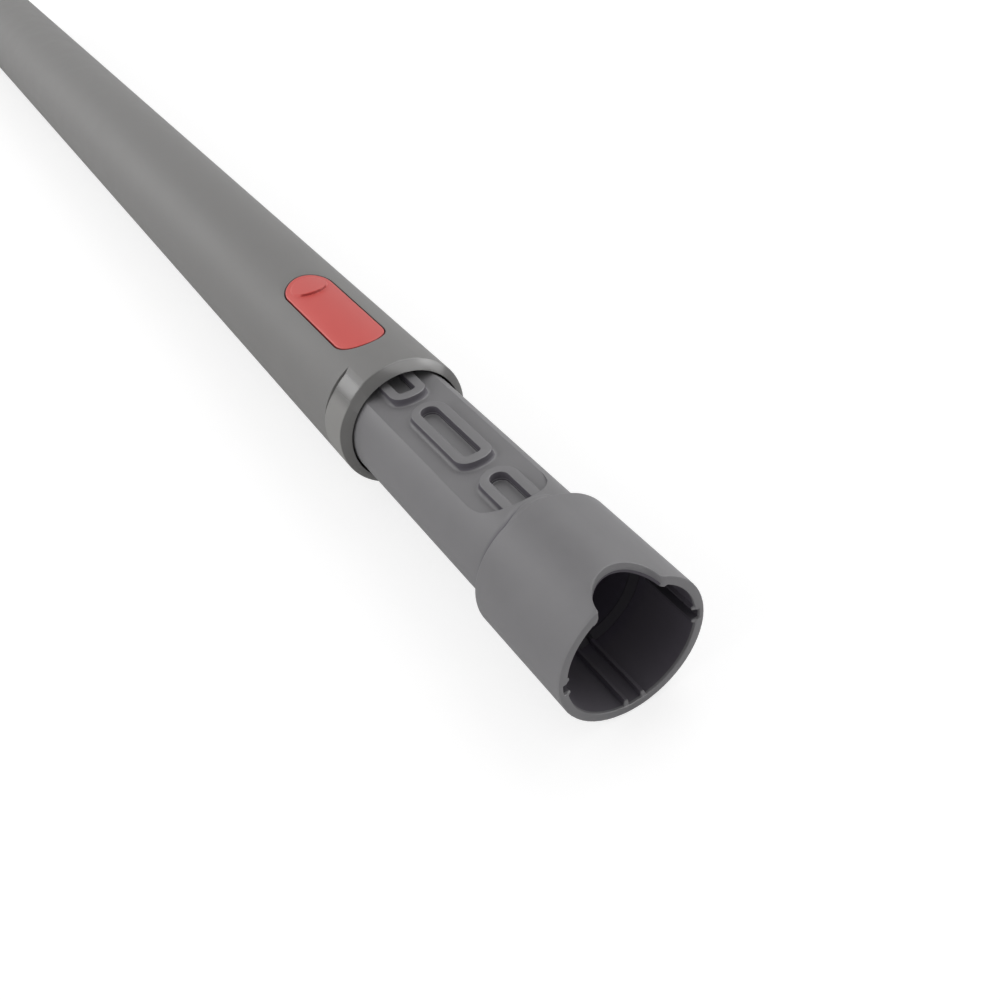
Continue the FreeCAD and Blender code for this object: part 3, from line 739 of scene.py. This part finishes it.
def shoulder_and_ramp(skin, foot_of_wall):
    """The back of the cuff, the shoulder, the ramp at the crown and the end wall of the lane.

    Columns at the crown follow the points at the foot of the end wall. Returns the first row and its angles.
    """
    crown_side = foot_of_wall[:, 1] / MM
    crown = np.arcsin(np.clip(crown_side / TUBE_RADIUS, -1, 1))
    plain = tube_angles()[1:]
    angles = np.concatenate([-plain[::-1], crown, plain])
    side = np.clip(TUBE_RADIUS * np.sin(angles), -LANE_HALF_WIDTH, LANE_HALF_WIDTH)
    over_lane = np.abs(angles) <= LANE_EDGE_ANGLE + SAME_ANGLE
    end = np.where(over_lane, lane_end_station(side), lane_end_station(LANE_HALF_WIDTH))
    height = np.zeros(angles.shape)
    height[over_lane] = TUBE_RADIUS * np.cos(crown) - (foot_of_wall[:, 2] - AXIS_Z) / MM
    lip = LANE_LIP * np.clip(height / LANE_LIP_HEIGHT, 0, 1)
    fixed = [CUFF_LENGTH + step for step in SHOULDER_ROWS]
    rows = [on_round(station, angles, outside_radius(station, angles)) for station in fixed]
    free = fixed[-1]
    for share in np.linspace(0, 1, RAMP_STEPS + 1)[1:]:
        station = free + share * (end - lip - free)
        rows.append(on_round(station, angles, outside_radius(station, angles)))
    skin.grid(np.stack(rows))
    top = rows[-1][over_lane]
    over = [top]
    for back, down in (LANE_LIP_MIDDLE, (1.0, 1.0)):
        over.append(top - lip[over_lane, None] * np.array([back, 0.0, down]) * MM)
    skin.grid(np.stack([*over, foot_of_wall]))
    return rows[0], angles


def bore_and_tail(skin, socket_row, socket_angles, edge_stations):
    """The bore with its flat under the lane, the round tail behind the lane and the end face between them."""
    flat = math.acos(LANE_UNDERSIDE / BORE_RADIUS)
    on_flat, beside = BORE_COLUMNS
    plain = np.linspace(flat, np.pi, beside)[1:]
    angles = both_sides(np.concatenate([np.linspace(0, flat, on_flat), plain]))
    flattened = with_flat(BORE_RADIUS, LANE_UNDERSIDE, angles)
    under_start, under_end = LANE_START - UNDERSIDE_WALL, LANE_END + UNDERSIDE_WALL
    rows = [(BORE_ROW, BORE_RADIUS), (under_start, BORE_RADIUS), (under_start, flattened)]
    rows += [(under_end, flattened), (under_end, BORE_RADIUS), (TAIL_END, BORE_RADIUS)]
    bore = turned(rows, angles)
    skin.grid(bore)
    skin.stitch(socket_row, bore[0], socket_angles, angles)

    side = LANE_HALF_WIDTH * np.linspace(-1, 1, STOP_STEPS[2] + 1)
    crown = np.arcsin(side / TUBE_RADIUS)
    lane_tail = [place(edge_stations[-1], side, LANE_FLOOR), place(LANE_END, side, LANE_FLOOR)]
    lane_tail += [on_round(LANE_END, crown, TUBE_RADIUS), on_round(TAIL_END, crown, TUBE_RADIUS)]
    skin.grid(np.stack(lane_tail))
    plain = tube_angles()
    stations = np.concatenate([edge_stations, [LANE_END, TAIL_END]])
    for way in (-1, 1):
        skin.grid(on_round(stations[:, None], way * plain, TUBE_RADIUS))
    tail_angles = np.concatenate([-plain[:0:-1], crown, plain[1:]])
    skin.stitch(on_round(TAIL_END, tail_angles, TUBE_RADIUS), bore[-1], tail_angles, angles)


def inner_tube():
    """The sliding tube: keyed cuff, shoulder, lane with its stop blocks, bore and tail, as one skin."""
    skin = Skin()
    cuff_row, cuff_angles, socket_row, socket_angles = rim_and_socket(skin)
    foot_of_wall, edge_stations = first_stop(skin)
    shoulder_row, shoulder_angles = shoulder_and_ramp(skin, foot_of_wall)
    skin.stitch(cuff_row, shoulder_row, cuff_angles, shoulder_angles)
    for step in range(STOP_COUNT):
        cell_edge = stop_cell(skin, FIRST_GAP + step * STOP_PITCH + STOP_GAP / 2)
        edge_stations = np.concatenate([edge_stations, cell_edge[1:]])
    bore_and_tail(skin, socket_row, socket_angles, edge_stations)
    return skin.piece("inner_tube_skin", "inner", "inner_tube_grey", "inner_tube")


def window_outline(grow):
    """Half outline of the catch's window, grown outwards."""
    return half_plan(-WINDOW_GAP - grow, *CATCH_PLAN, WINDOW_STEPS)


def outer_tube():
    """The outer tube: a patch of rings round the catch's window, with the tongue, and the tube behind it."""
    tip, straight, _ = WINDOW_STEPS
    rows, first, last, share = framed(WINDOW_STEPS)
    angle = TONGUE_ANGLE * share
    front = first + TONGUE_COLUMNS
    marks = [first, front, tip, tip + straight, last]
    side_marks = [TONGUE_FRONT, TUBE_FRONT, CATCH_NEAR + CATCH_DEPTH, CATCH_FAR - CATCH_HALF_WIDTH, PATCH_END]
    stations = np.interp(rows, marks, side_marks)

    def patch(radius, grow):
        """Rings from the patch's edge in to the window at one radius."""
        near, side = window_outline(grow)
        window_angle = np.arcsin(side / radius)
        made = []
        for share in np.linspace(0, 1, WINDOW_RINGS):
            station = stations + share * (near - stations)
            turned = angle + share * (window_angle - angle)
            made.append(ring(station, radius * np.sin(turned), radius * np.cos(turned)))
        return made

    def lip(grow, drop):
        """A ring at the window's edge, grown outwards and dropped below the tube's round."""
        station, side = window_outline(grow)
        return ring(station, side, np.sqrt((OUTER_RADIUS - drop) ** 2 - side ** 2))

    skin = Skin()
    rings = patch(OUTER_RADIUS, WINDOW_EDGE_START)
    rings += [lip(*edge) for edge in WINDOW_EDGE] + patch(OUTER_BORE, 0.0)[::-1]
    skin.grid(np.stack(rings), around=True)

    around = np.linspace(TONGUE_ANGLE, 2 * np.pi - TONGUE_ANGLE, OUTER_COLUMNS)
    beside = stations[front : last + 1]
    radii = np.array([OUTER_RADIUS, OUTER_BORE])[:, None]
    for radius in radii:
        skin.grid(on_round(beside[:, None], around, radius))
    skin.grid(on_round(beside[0], around, radii))
    skin.grid(on_round(TONGUE_FRONT, both_sides(angle[: first + 1]), radii))
    for way in (-1, 1):
        skin.grid(on_round(stations[first : front + 1], way * TONGUE_ANGLE, radii))

    crown = both_sides(angle[last:][::-1])
    circle = np.concatenate([crown, around[1:]])
    ends = [(PATCH_END, OUTER_RADIUS)]
    ends += [(TUBE_END - step, OUTER_RADIUS - drop) for step, drop in TUBE_END_EDGE]
    ends += [(TUBE_END, OUTER_BORE), (PATCH_END, OUTER_BORE)]
    skin.grid(turned(ends, circle))
    return skin.piece("outer_tube_skin", "outer", "outer_tube_grey", "outer_tube")


def collar_ring():
    """The glossy ring at the mouth: a turned profile whose band lies a little deeper on its -Y flank.

    Each row of the profile has a station and a radius that depends on the angle. Elsewhere the band stands
    as high as the tongue and closes the seam.
    """
    under, beside = COLLAR_COLUMNS
    tongue = np.linspace(0, TONGUE_ANGLE - TONGUE_STEP, under)
    angles = both_sides(np.concatenate([tongue, np.linspace(TONGUE_ANGLE, np.pi, beside)]))
    left = -np.degrees(angles)
    sunk, free = (smooth_step(left, *at[:2]) * (1 - smooth_step(left, *at[2:])) for at in (SUNK, SEAM))
    band = OUTER_RADIUS - SUNK_DEPTH * sunk
    under_tongue = np.abs(angles) < TONGUE_ANGLE - SAME_ANGLE
    seat = np.where(under_tongue, SLEEVE_RADIUS, band)
    band_end = np.where(under_tongue, BAND_END, TUBE_FRONT - SEAM_GAP * free)
    edge = BAND_EDGE_SHUT + (BAND_EDGE_OPEN - BAND_EDGE_SHUT) * free
    profile = [
        (BAND_END, COLLAR_BORE),
        *((LIP_STATION + behind, COLLAR_BORE + step) for behind, step in LIP_EDGE),
        *((TONGUE_FRONT - before, band - drop) for before, drop in BEVEL_EDGE),
        (TONGUE_FRONT + BAND_START * ~under_tongue, band),
        (TONGUE_FRONT + BAND_SEAT * ~under_tongue, seat),
        (band_end - edge, seat),
        (band_end, np.where(under_tongue, seat, seat - edge)),
        (band_end, SLEEVE_RADIUS),
        (BAND_END, COLLAR_BORE),
    ]
    skin = Skin()
    skin.grid(turned(profile, angles))
    return skin.piece("collar_ring", "outer", "collar_grey", "guide_collar")


def guide_sleeve():
    """The sleeve behind the ring, which carries the tube: a copy of the CAD node, cut off behind the seam.

    The cut is a plane across the axis, and the ring between its two circles is filled.
    """
    work = bmesh.new()
    work.from_mesh(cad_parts["guide_collar"].data)
    bmesh.ops.remove_doubles(work, verts=work.verts, dist=MERGE_DISTANCE)
    cut = bmesh.ops.bisect_plane(
        work,
        geom=[*work.verts, *work.edges, *work.faces],
        dist=FLAT_DISTANCE,
        plane_co=place(BAND_END + SLEEVE_SETBACK, 0, 0).tolist(),
        plane_no=(1, 0, 0),
        clear_outer=True,
    )
    rim = [part for part in cut["geom_cut"] if isinstance(part, bmesh.types.BMEdge)]
    bmesh.ops.triangle_fill(work, use_beauty=True, edges=rim)
    mesh = bpy.data.meshes.new("guide_sleeve")
    work.to_mesh(mesh)
    work.free()
    return hang("guide_sleeve", mesh, "outer", ["guide_collar"])


def catch_top(station, side):
    """Height of the catch's top: flush with the tube's round, plus the pad that leans down to its far end."""
    reach = np.hypot(station - PAD_STATION, side)
    lean = PAD_RISE * (PAD_STATION + PAD_RADIUS - station) / (2 * PAD_RADIUS)
    pad = np.maximum(lean, 0) * (1 - smooth_step(reach, PAD_RADIUS - PAD_ROUND, PAD_RADIUS))
    return np.sqrt(OUTER_RADIUS ** 2 - side ** 2) + pad


def extruded(skin, station, height, side_from, side_to):
    """A closed bar with a mirror-symmetric side view, given as a row from one top corner to the other."""
    rows = np.stack([place(station, side, height) for side in (side_from, side_to)])
    skin.grid(rows, around=True)
    half = len(station) // 2
    for row in rows:
        skin.grid(np.stack([row[:half], row[: -half - 1 : -1]]))


def release_catch():
    """The red rocker: a skin flush with the tube, rounded at its edge, with skirts, pin lugs and a tooth."""
    def outline(step):
        return half_plan(step, *CATCH_PLAN, CATCH_STEPS, CATCH_GATHER)

    def underside(_, side):
        skirt = np.sqrt(SKIRT_BOTTOM ** 2 - side ** 2)
        return np.where(np.abs(side) < SKIRT_INSIDE, CATCH_UNDERSIDE, skirt)

    skin = Skin()
    rings, sheets = [], []
    for height, edge in ((catch_top, CATCH_TOP_EDGE), (underside, CATCH_FOOT_EDGE)):
        for step, rise in edge:
            plan = outline(step)
            rings.append(ring(*plan, height(*plan) + rise))
        sheet = filled(*outline(max(edge)[0]), CATCH_COLUMNS)
        sheets.append(place(*sheet, height(*sheet)))
    skin.grid(np.stack(rings), around=True)
    for sheet in sheets:
        skin.grid(sheet)

    corner = np.linspace(0, np.pi / 2, TOOTH_STEPS)
    tip_station = TOOTH_HALF_LENGTH - TOOTH_ROUND * (1 - np.cos(corner))
    tip_height = TOOTH_TIP + TOOTH_ROUND * (1 - np.sin(corner))
    corners = [[-TOOTH_HALF_LENGTH], -tip_station, tip_station[::-1], [TOOTH_HALF_LENGTH]]
    station = TOOTH_STATION + np.concatenate(corners)
    height = np.concatenate([[TOOTH_ROOT], tip_height, tip_height[::-1], [TOOTH_ROOT]])
    extruded(skin, station, height, -TOOTH_HALF_WIDTH, TOOTH_HALF_WIDTH)
    swing = np.linspace(-np.pi / 2, np.pi / 2, LUG_STEPS)
    station = PIN_STATION + LUG_RADIUS * np.concatenate([[-1.0], np.sin(swing), [1.0]])
    height = PIN_HEIGHT - LUG_RADIUS * np.concatenate([[-1.0], np.cos(swing), [-1.0]])
    for way in (-1, 1):
        extruded(skin, station, height, way * SKIRT_INSIDE, way * LUG_OUTSIDE)
    return skin.piece("release_catch_skin", "catch", "catch_red", "release_catch")


def catch_spring():
    """The steel leaf under the pad: a flat section along a path, level in the sleeve and rising to its tip.

    It bends in the gap between the window's wall and the catch, and its free part is thinner and lies close
    under the catch.
    """
    wall = SPRING_FAR - SPRING_BITE
    station = np.concatenate([
        [SPRING_FAR],
        np.linspace(wall, CATCH_FAR, SPRING_STEPS[0] + 1),
        np.linspace(CATCH_FAR, SPRING_TIP, SPRING_STEPS[1] + 1)[1:],
    ])
    seat_top = SPRING_SEAT_BOTTOM + SPRING_THICKNESS
    bends = [SPRING_TIP, CATCH_FAR, wall]
    top = np.interp(station, bends, [SPRING_TIP_TOP, CATCH_UNDERSIDE - SPRING_CLEARANCE, seat_top])
    free = SPRING_FREE_THICKNESS
    thickness = np.interp(station, bends, [free, free, SPRING_THICKNESS])
    side = SPRING_HALF_WIDTH * np.array([-1.0, 1.0, 1.0, -1.0])
    under = np.array([0.0, 0.0, 1.0, 1.0])
    rows = place(station[:, None], side, top[:, None] - under * thickness[:, None])
    skin = Skin()
    skin.grid(rows, around=True)
    for end in (rows[0], rows[-1]):
        skin.grid(end[[0, 1, 3, 2]].reshape(2, 2, 3))
    piece = skin.piece("catch_leaf", None, "steel", "catch_spring")
    bend_from, bend_to = place(np.array([wall, CATCH_FAR + SPRING_BEND_PAST]), 0.0, seat_top)
    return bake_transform(piece)


def end_spigot():
    """The plug-in end: a turned profile with rounded edges and a flat-floored latch recess at its crown."""
    edge = math.asin(RECESS_HALF_WIDTH / NECK_RADIUS)
    on_flat, beside = SPIGOT_COLUMNS
    flank, clear = RECESS_COLUMNS
    plain = np.linspace(edge + clear, np.pi, beside)
    angles = both_sides(np.concatenate([np.linspace(0, edge, on_flat), [edge + flank], plain]))
    sunk = with_flat(NECK_RADIUS, RECESS_FLOOR, angles)
    recess = np.where(np.abs(angles) <= edge + SAME_ANGLE, sunk, NECK_RADIUS)
    profile = [
        (PLUG_START, BORE_RADIUS),
        (PLUG_START, SLEEVE_RADIUS),
        (TUBE_END, SLEEVE_RADIUS),
        (TUBE_END, NECK_RADIUS),
        (RECESS_NEAR - RECESS_DRAFT, NECK_RADIUS),
        (RECESS_NEAR, recess),
        (RECESS_FAR, recess),
        (RECESS_FAR + RECESS_DRAFT, NECK_RADIUS),
        *((WAND_END - step, NECK_RADIUS - drop) for step, drop in NECK_END_EDGE),
        (WAND_END, BORE_RADIUS),
        (PLUG_START, BORE_RADIUS),
    ]
    skin = Skin()
    skin.grid(turned(profile, angles))
    return skin.piece("end_spigot_skin", "outer", "outer_tube_grey", "end_spigot")


def linear(red, green, blue):
    """Scene-linear colour of an 8-bit screen colour, by the sRGB curve."""
    share = np.array([red, green, blue]) / 255
    made = np.where(share <= 0.04045, share / 12.92, ((share + 0.055) / 1.055) ** 2.4)
    return (*made.tolist(), 1.0)


def feed(tree, node, inputs):
    """Sets a node's inputs to plain values, or links them to the sockets given."""
    for name, source in inputs.items():
        if isinstance(source, bpy.types.NodeSocket):
            tree.links.new(source, node.inputs[name])
        else:
            node.inputs[name].default_value = source


def add_node(tree, kind, inputs, **settings):
    """A new node with its settings and inputs."""
    node = tree.nodes.new(kind)
    for name, value in settings.items():
        setattr(node, name, value)
    feed(tree, node, inputs)
    return node


def math_value(tree, operation, *inputs):
    """Result of a Math node."""
    return add_node(tree, "ShaderNodeMath", dict(enumerate(inputs)), operation=operation).outputs[0]


def range_value(tree, value, start, end, fade="LINEAR"):
    """Result of a Map Range node that takes one pair of values to another."""
    inputs = {"Value": value, "From Min": start[0], "From Max": start[1], "To Min": end[0], "To Max": end[1]}
    return add_node(tree, "ShaderNodeMapRange", inputs, interpolation_type=fade).outputs["Result"]


def float_group(name, given, result):
    """An empty node group with float sockets."""
    group = bpy.data.node_groups.new(name, "ShaderNodeTree")
    for way, sockets in (("INPUT", given), ("OUTPUT", result)):
        for socket in sockets:
            group.interface.new_socket(socket, in_out=way, socket_type="NodeSocketFloat")
    return group


def moulded_grain():
    """Node group for moulded plastic: Mottle drifts slowly over the piece, Grain is its fine texture."""
    group = float_group("moulded_grain", [f"{name} Scale" for name in NOISES], NOISES)
    given = add_node(group, "NodeGroupInput", {})
    where = add_node(group, "ShaderNodeTexCoord", {}).outputs["Object"]
    result = {}
    for name, (detail, rough, _) in NOISES.items():
        scale = given.outputs[f"{name} Scale"]
        inputs = {"Vector": where, "Scale": scale, "Detail": detail, "Roughness": rough}
        result[name] = add_node(group, "ShaderNodeTexNoise", inputs).outputs["Fac"]
    add_node(group, "NodeGroupOutput", result)
    return group


def wand_place():
    """Node group with a point's place on the wand: station, radius and height in mm, angle in degrees."""
    group = float_group("wand_place", (), ("Station", "Radius", "Height", "Angle"))
    where = add_node(group, "ShaderNodeTexCoord", {})
    apart = add_node(group, "ShaderNodeSeparateXYZ", {0: where.outputs["Object"]}).outputs
    station = math_value(group, "MULTIPLY_ADD", apart["X"], -1 / MM, RIM_X / MM)
    side = math_value(group, "MULTIPLY_ADD", apart["Y"], 1 / MM, 0.0)
    height = math_value(group, "MULTIPLY_ADD", apart["Z"], 1 / MM, -AXIS_Z / MM)
    across = add_node(group, "ShaderNodeCombineXYZ", {"Y": side, "Z": height})
    length = add_node(group, "ShaderNodeVectorMath", {0: across.outputs[0]}, operation="LENGTH")
    angle = math_value(group, "DEGREES", math_value(group, "ARCTAN2", side, height))
    result = {"Station": station, "Radius": length.outputs["Value"], "Height": height, "Angle": angle}
    add_node(group, "NodeGroupOutput", result)
    return group


GRAIN = moulded_grain()
PLACE = wand_place()


def plastic(name):
    """A moulded finish: colour and roughness drift between two values, with a fine grain as bump."""
    dark, light, rough, grain_depth, specular, metallic = FINISHES[name]
    material = bpy.data.materials.new(name)
    material.use_nodes = True
    tree = material.node_tree
    scales = {f"{noise} Scale": settings[-1] for noise, settings in NOISES.items()}
    grain = add_node(tree, "ShaderNodeGroup", scales, node_tree=GRAIN).outputs
    colours = {"Factor": grain["Mottle"], "A": linear(*dark), "B": linear(*light)}
    bumps = {"Strength": 1.0, "Distance": grain_depth * MM, "Height": grain["Grain"]}
    feed(tree, tree.nodes["Principled BSDF"], {
        "Base Color": add_node(tree, "ShaderNodeMix", colours, data_type="RGBA").outputs["Result"],
        "Roughness": range_value(tree, grain["Mottle"], MOTTLE_RANGE, rough),
        "Normal": add_node(tree, "ShaderNodeBump", bumps).outputs["Normal"],
        "IOR": PLASTIC_IOR,
        "Specular IOR Level": specular,
        "Metallic": metallic,
    })
    return material


def repaint(tree, spans, colour, rough):
    """Changes a finish's colour and roughness where all spans of a mask hold, for painted shade, painted
    light and changes of finish.
    """
    shader = tree.nodes["Principled BSDF"]
    where = add_node(tree, "ShaderNodeGroup", {}, node_tree=PLACE).outputs
    share = None
    for axis, start, end in spans:
        limits, shares = ((start, end), (0.0, 1.0)) if start < end else ((end, start), (1.0, 0.0))
        fade = range_value(tree, where[axis], limits, shares, "SMOOTHSTEP")
        share = fade if share is None else math_value(tree, "MULTIPLY", share, fade)
    for socket, kind, value in (("Base Color", "RGBA", linear(*colour)), ("Roughness", "FLOAT", rough)):
        before = shader.inputs[socket].links[0].from_socket
        mix = add_node(tree, "ShaderNodeMix", {"Factor": share, "A": before, "B": value}, data_type=kind)
        feed(tree, shader, {socket: mix.outputs["Result"]})


def dress(material, *pieces):
    """Gives pieces or CAD nodes their one material."""
    for piece in pieces:
        piece.data.materials.clear()
        piece.data.materials.append(material)


def white_floor():
    """A plain white floor that keeps the wand's shadow."""
    far = FLOOR_REACH
    mesh = bpy.data.meshes.new("floor")
    mesh.from_pydata([(-far, -far, 0), (far, -far, 0), (far, far, 0), (-far, far, 0)], [], [(0, 1, 2, 3)])
    floor = linked("floor", mesh)
    material = bpy.data.materials.new("floor_white")
    material.use_nodes = True
    tree = material.node_tree
    tree.nodes.clear()
    paper = add_node(tree, "ShaderNodeBsdfDiffuse", {"Color": FLOOR_WHITE})
    glow = add_node(tree, "ShaderNodeEmission", {"Strength": FLOOR_GLOW_STRENGTH})
    ray = add_node(tree, "ShaderNodeLightPath", {}).outputs
    share = math_value(tree, "MULTIPLY", ray["Is Camera Ray"], FLOOR_GLOW)
    mix = add_node(tree, "ShaderNodeMixShader", {"Fac": share, 1: paper.outputs[0], 2: glow.outputs[0]})
    add_node(tree, "ShaderNodeOutputMaterial", {"Surface": mix.outputs[0]})
    mesh.materials.append(material)


def surround():
    """A white surround to look at and to mirror, whose fill light is weaker from above."""
    world = bpy.data.worlds.new("surround")
    bpy.context.scene.world = world
    world.use_nodes = True
    tree = world.node_tree
    tree.nodes.clear()
    where = add_node(tree, "ShaderNodeTexCoord", {})
    apart = add_node(tree, "ShaderNodeSeparateXYZ", {0: where.outputs["Generated"]})
    level = range_value(tree, apart.outputs["Z"], FILL_HEIGHTS, (FILL_SIDE, FILL_TOP), "SMOOTHSTEP")
    fill = add_node(tree, "ShaderNodeBackground", {"Strength": level})
    ray = add_node(tree, "ShaderNodeLightPath", {}).outputs
    bright = range_value(tree, ray["Is Camera Ray"], (0.0, 1.0), (MIRRORED_WHITE, 1.0))
    white = add_node(tree, "ShaderNodeBackground", {"Color": (1, 1, 1, 1), "Strength": bright})
    seen = math_value(tree, "MAXIMUM", ray["Is Camera Ray"], ray["Is Glossy Ray"])
    seen = math_value(tree, "MAXIMUM", seen, ray["Is Transmission Ray"])
    mix = add_node(tree, "ShaderNodeMixShader", {"Fac": seen, 1: fill.outputs[0], 2: white.outputs[0]})
    add_node(tree, "ShaderNodeOutputWorld", {"Surface": mix.outputs[0]})


def lamp(name, target_m):
    """A square soft lamp that faces a target, or one that only gives a sheen to glossy surfaces."""
    place_m, size, power, sheen_only = LAMPS[name]
    data = bpy.data.lights.new(name, "AREA")
    data.size = size
    data.energy = power
    made = linked(name, data)
    made.location = place_m
    made.visible_diffuse = not sheen_only
    made.rotation_mode = "QUATERNION"
    made.rotation_quaternion = (Vector(target_m) - Vector(place_m)).to_track_quat("-Z", "Y")


def camera():
    """The photograph's view: a square frame over the cuff, looking along the wand to its far end."""
    data = bpy.data.cameras.new("camera")
    data.lens = LENS
    data.clip_start = CLIP_START
    made = linked("camera", data)
    up = CAMERA_RIGHT.cross(CAMERA_FORWARD)
    turn = Matrix((CAMERA_RIGHT, up, -CAMERA_FORWARD)).transposed()
    spot = Vector((RIM_X, 0, AXIS_Z)) + Vector(CAMERA_FROM_RIM) * MM
    made.matrix_world = Matrix.Translation(spot) @ turn.to_4x4()
    bpy.context.scene.camera = made


def main():
    """Builds every piece, dresses it and sets the stage."""
    finish = {name: plastic(name) for name in FINISHES}
    for name, repaints in SHADE_LIGHT_AND_FINISH_REPAINTS.items():
        for spans, colour, rough in repaints:
            repaint(finish[name].node_tree, spans, colour, rough)
    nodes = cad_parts
    dress(finish["inner_grey"], inner_tube())
    dress(finish["outer_grey"], outer_tube())
    dress(finish["collar_grey"], collar_ring(), guide_sleeve())
    dress(finish["catch_red"], release_catch())
    dress(finish["steel"], catch_spring(), nodes["catch_pin"])
    dress(finish["outer_grey"], end_spigot())
    dress(finish["bush_white"], nodes["tail_bush"])
    dress(finish["seal_black"], nodes["tail_seal"])
    white_floor()
    surround()
    for name in LAMPS:
        lamp(name, (RIM_X - LIP_STATION * MM, 0.0, AXIS_Z))
    camera()


main()
scene = bpy.context.scene
scene.view_settings.view_transform = "Standard"
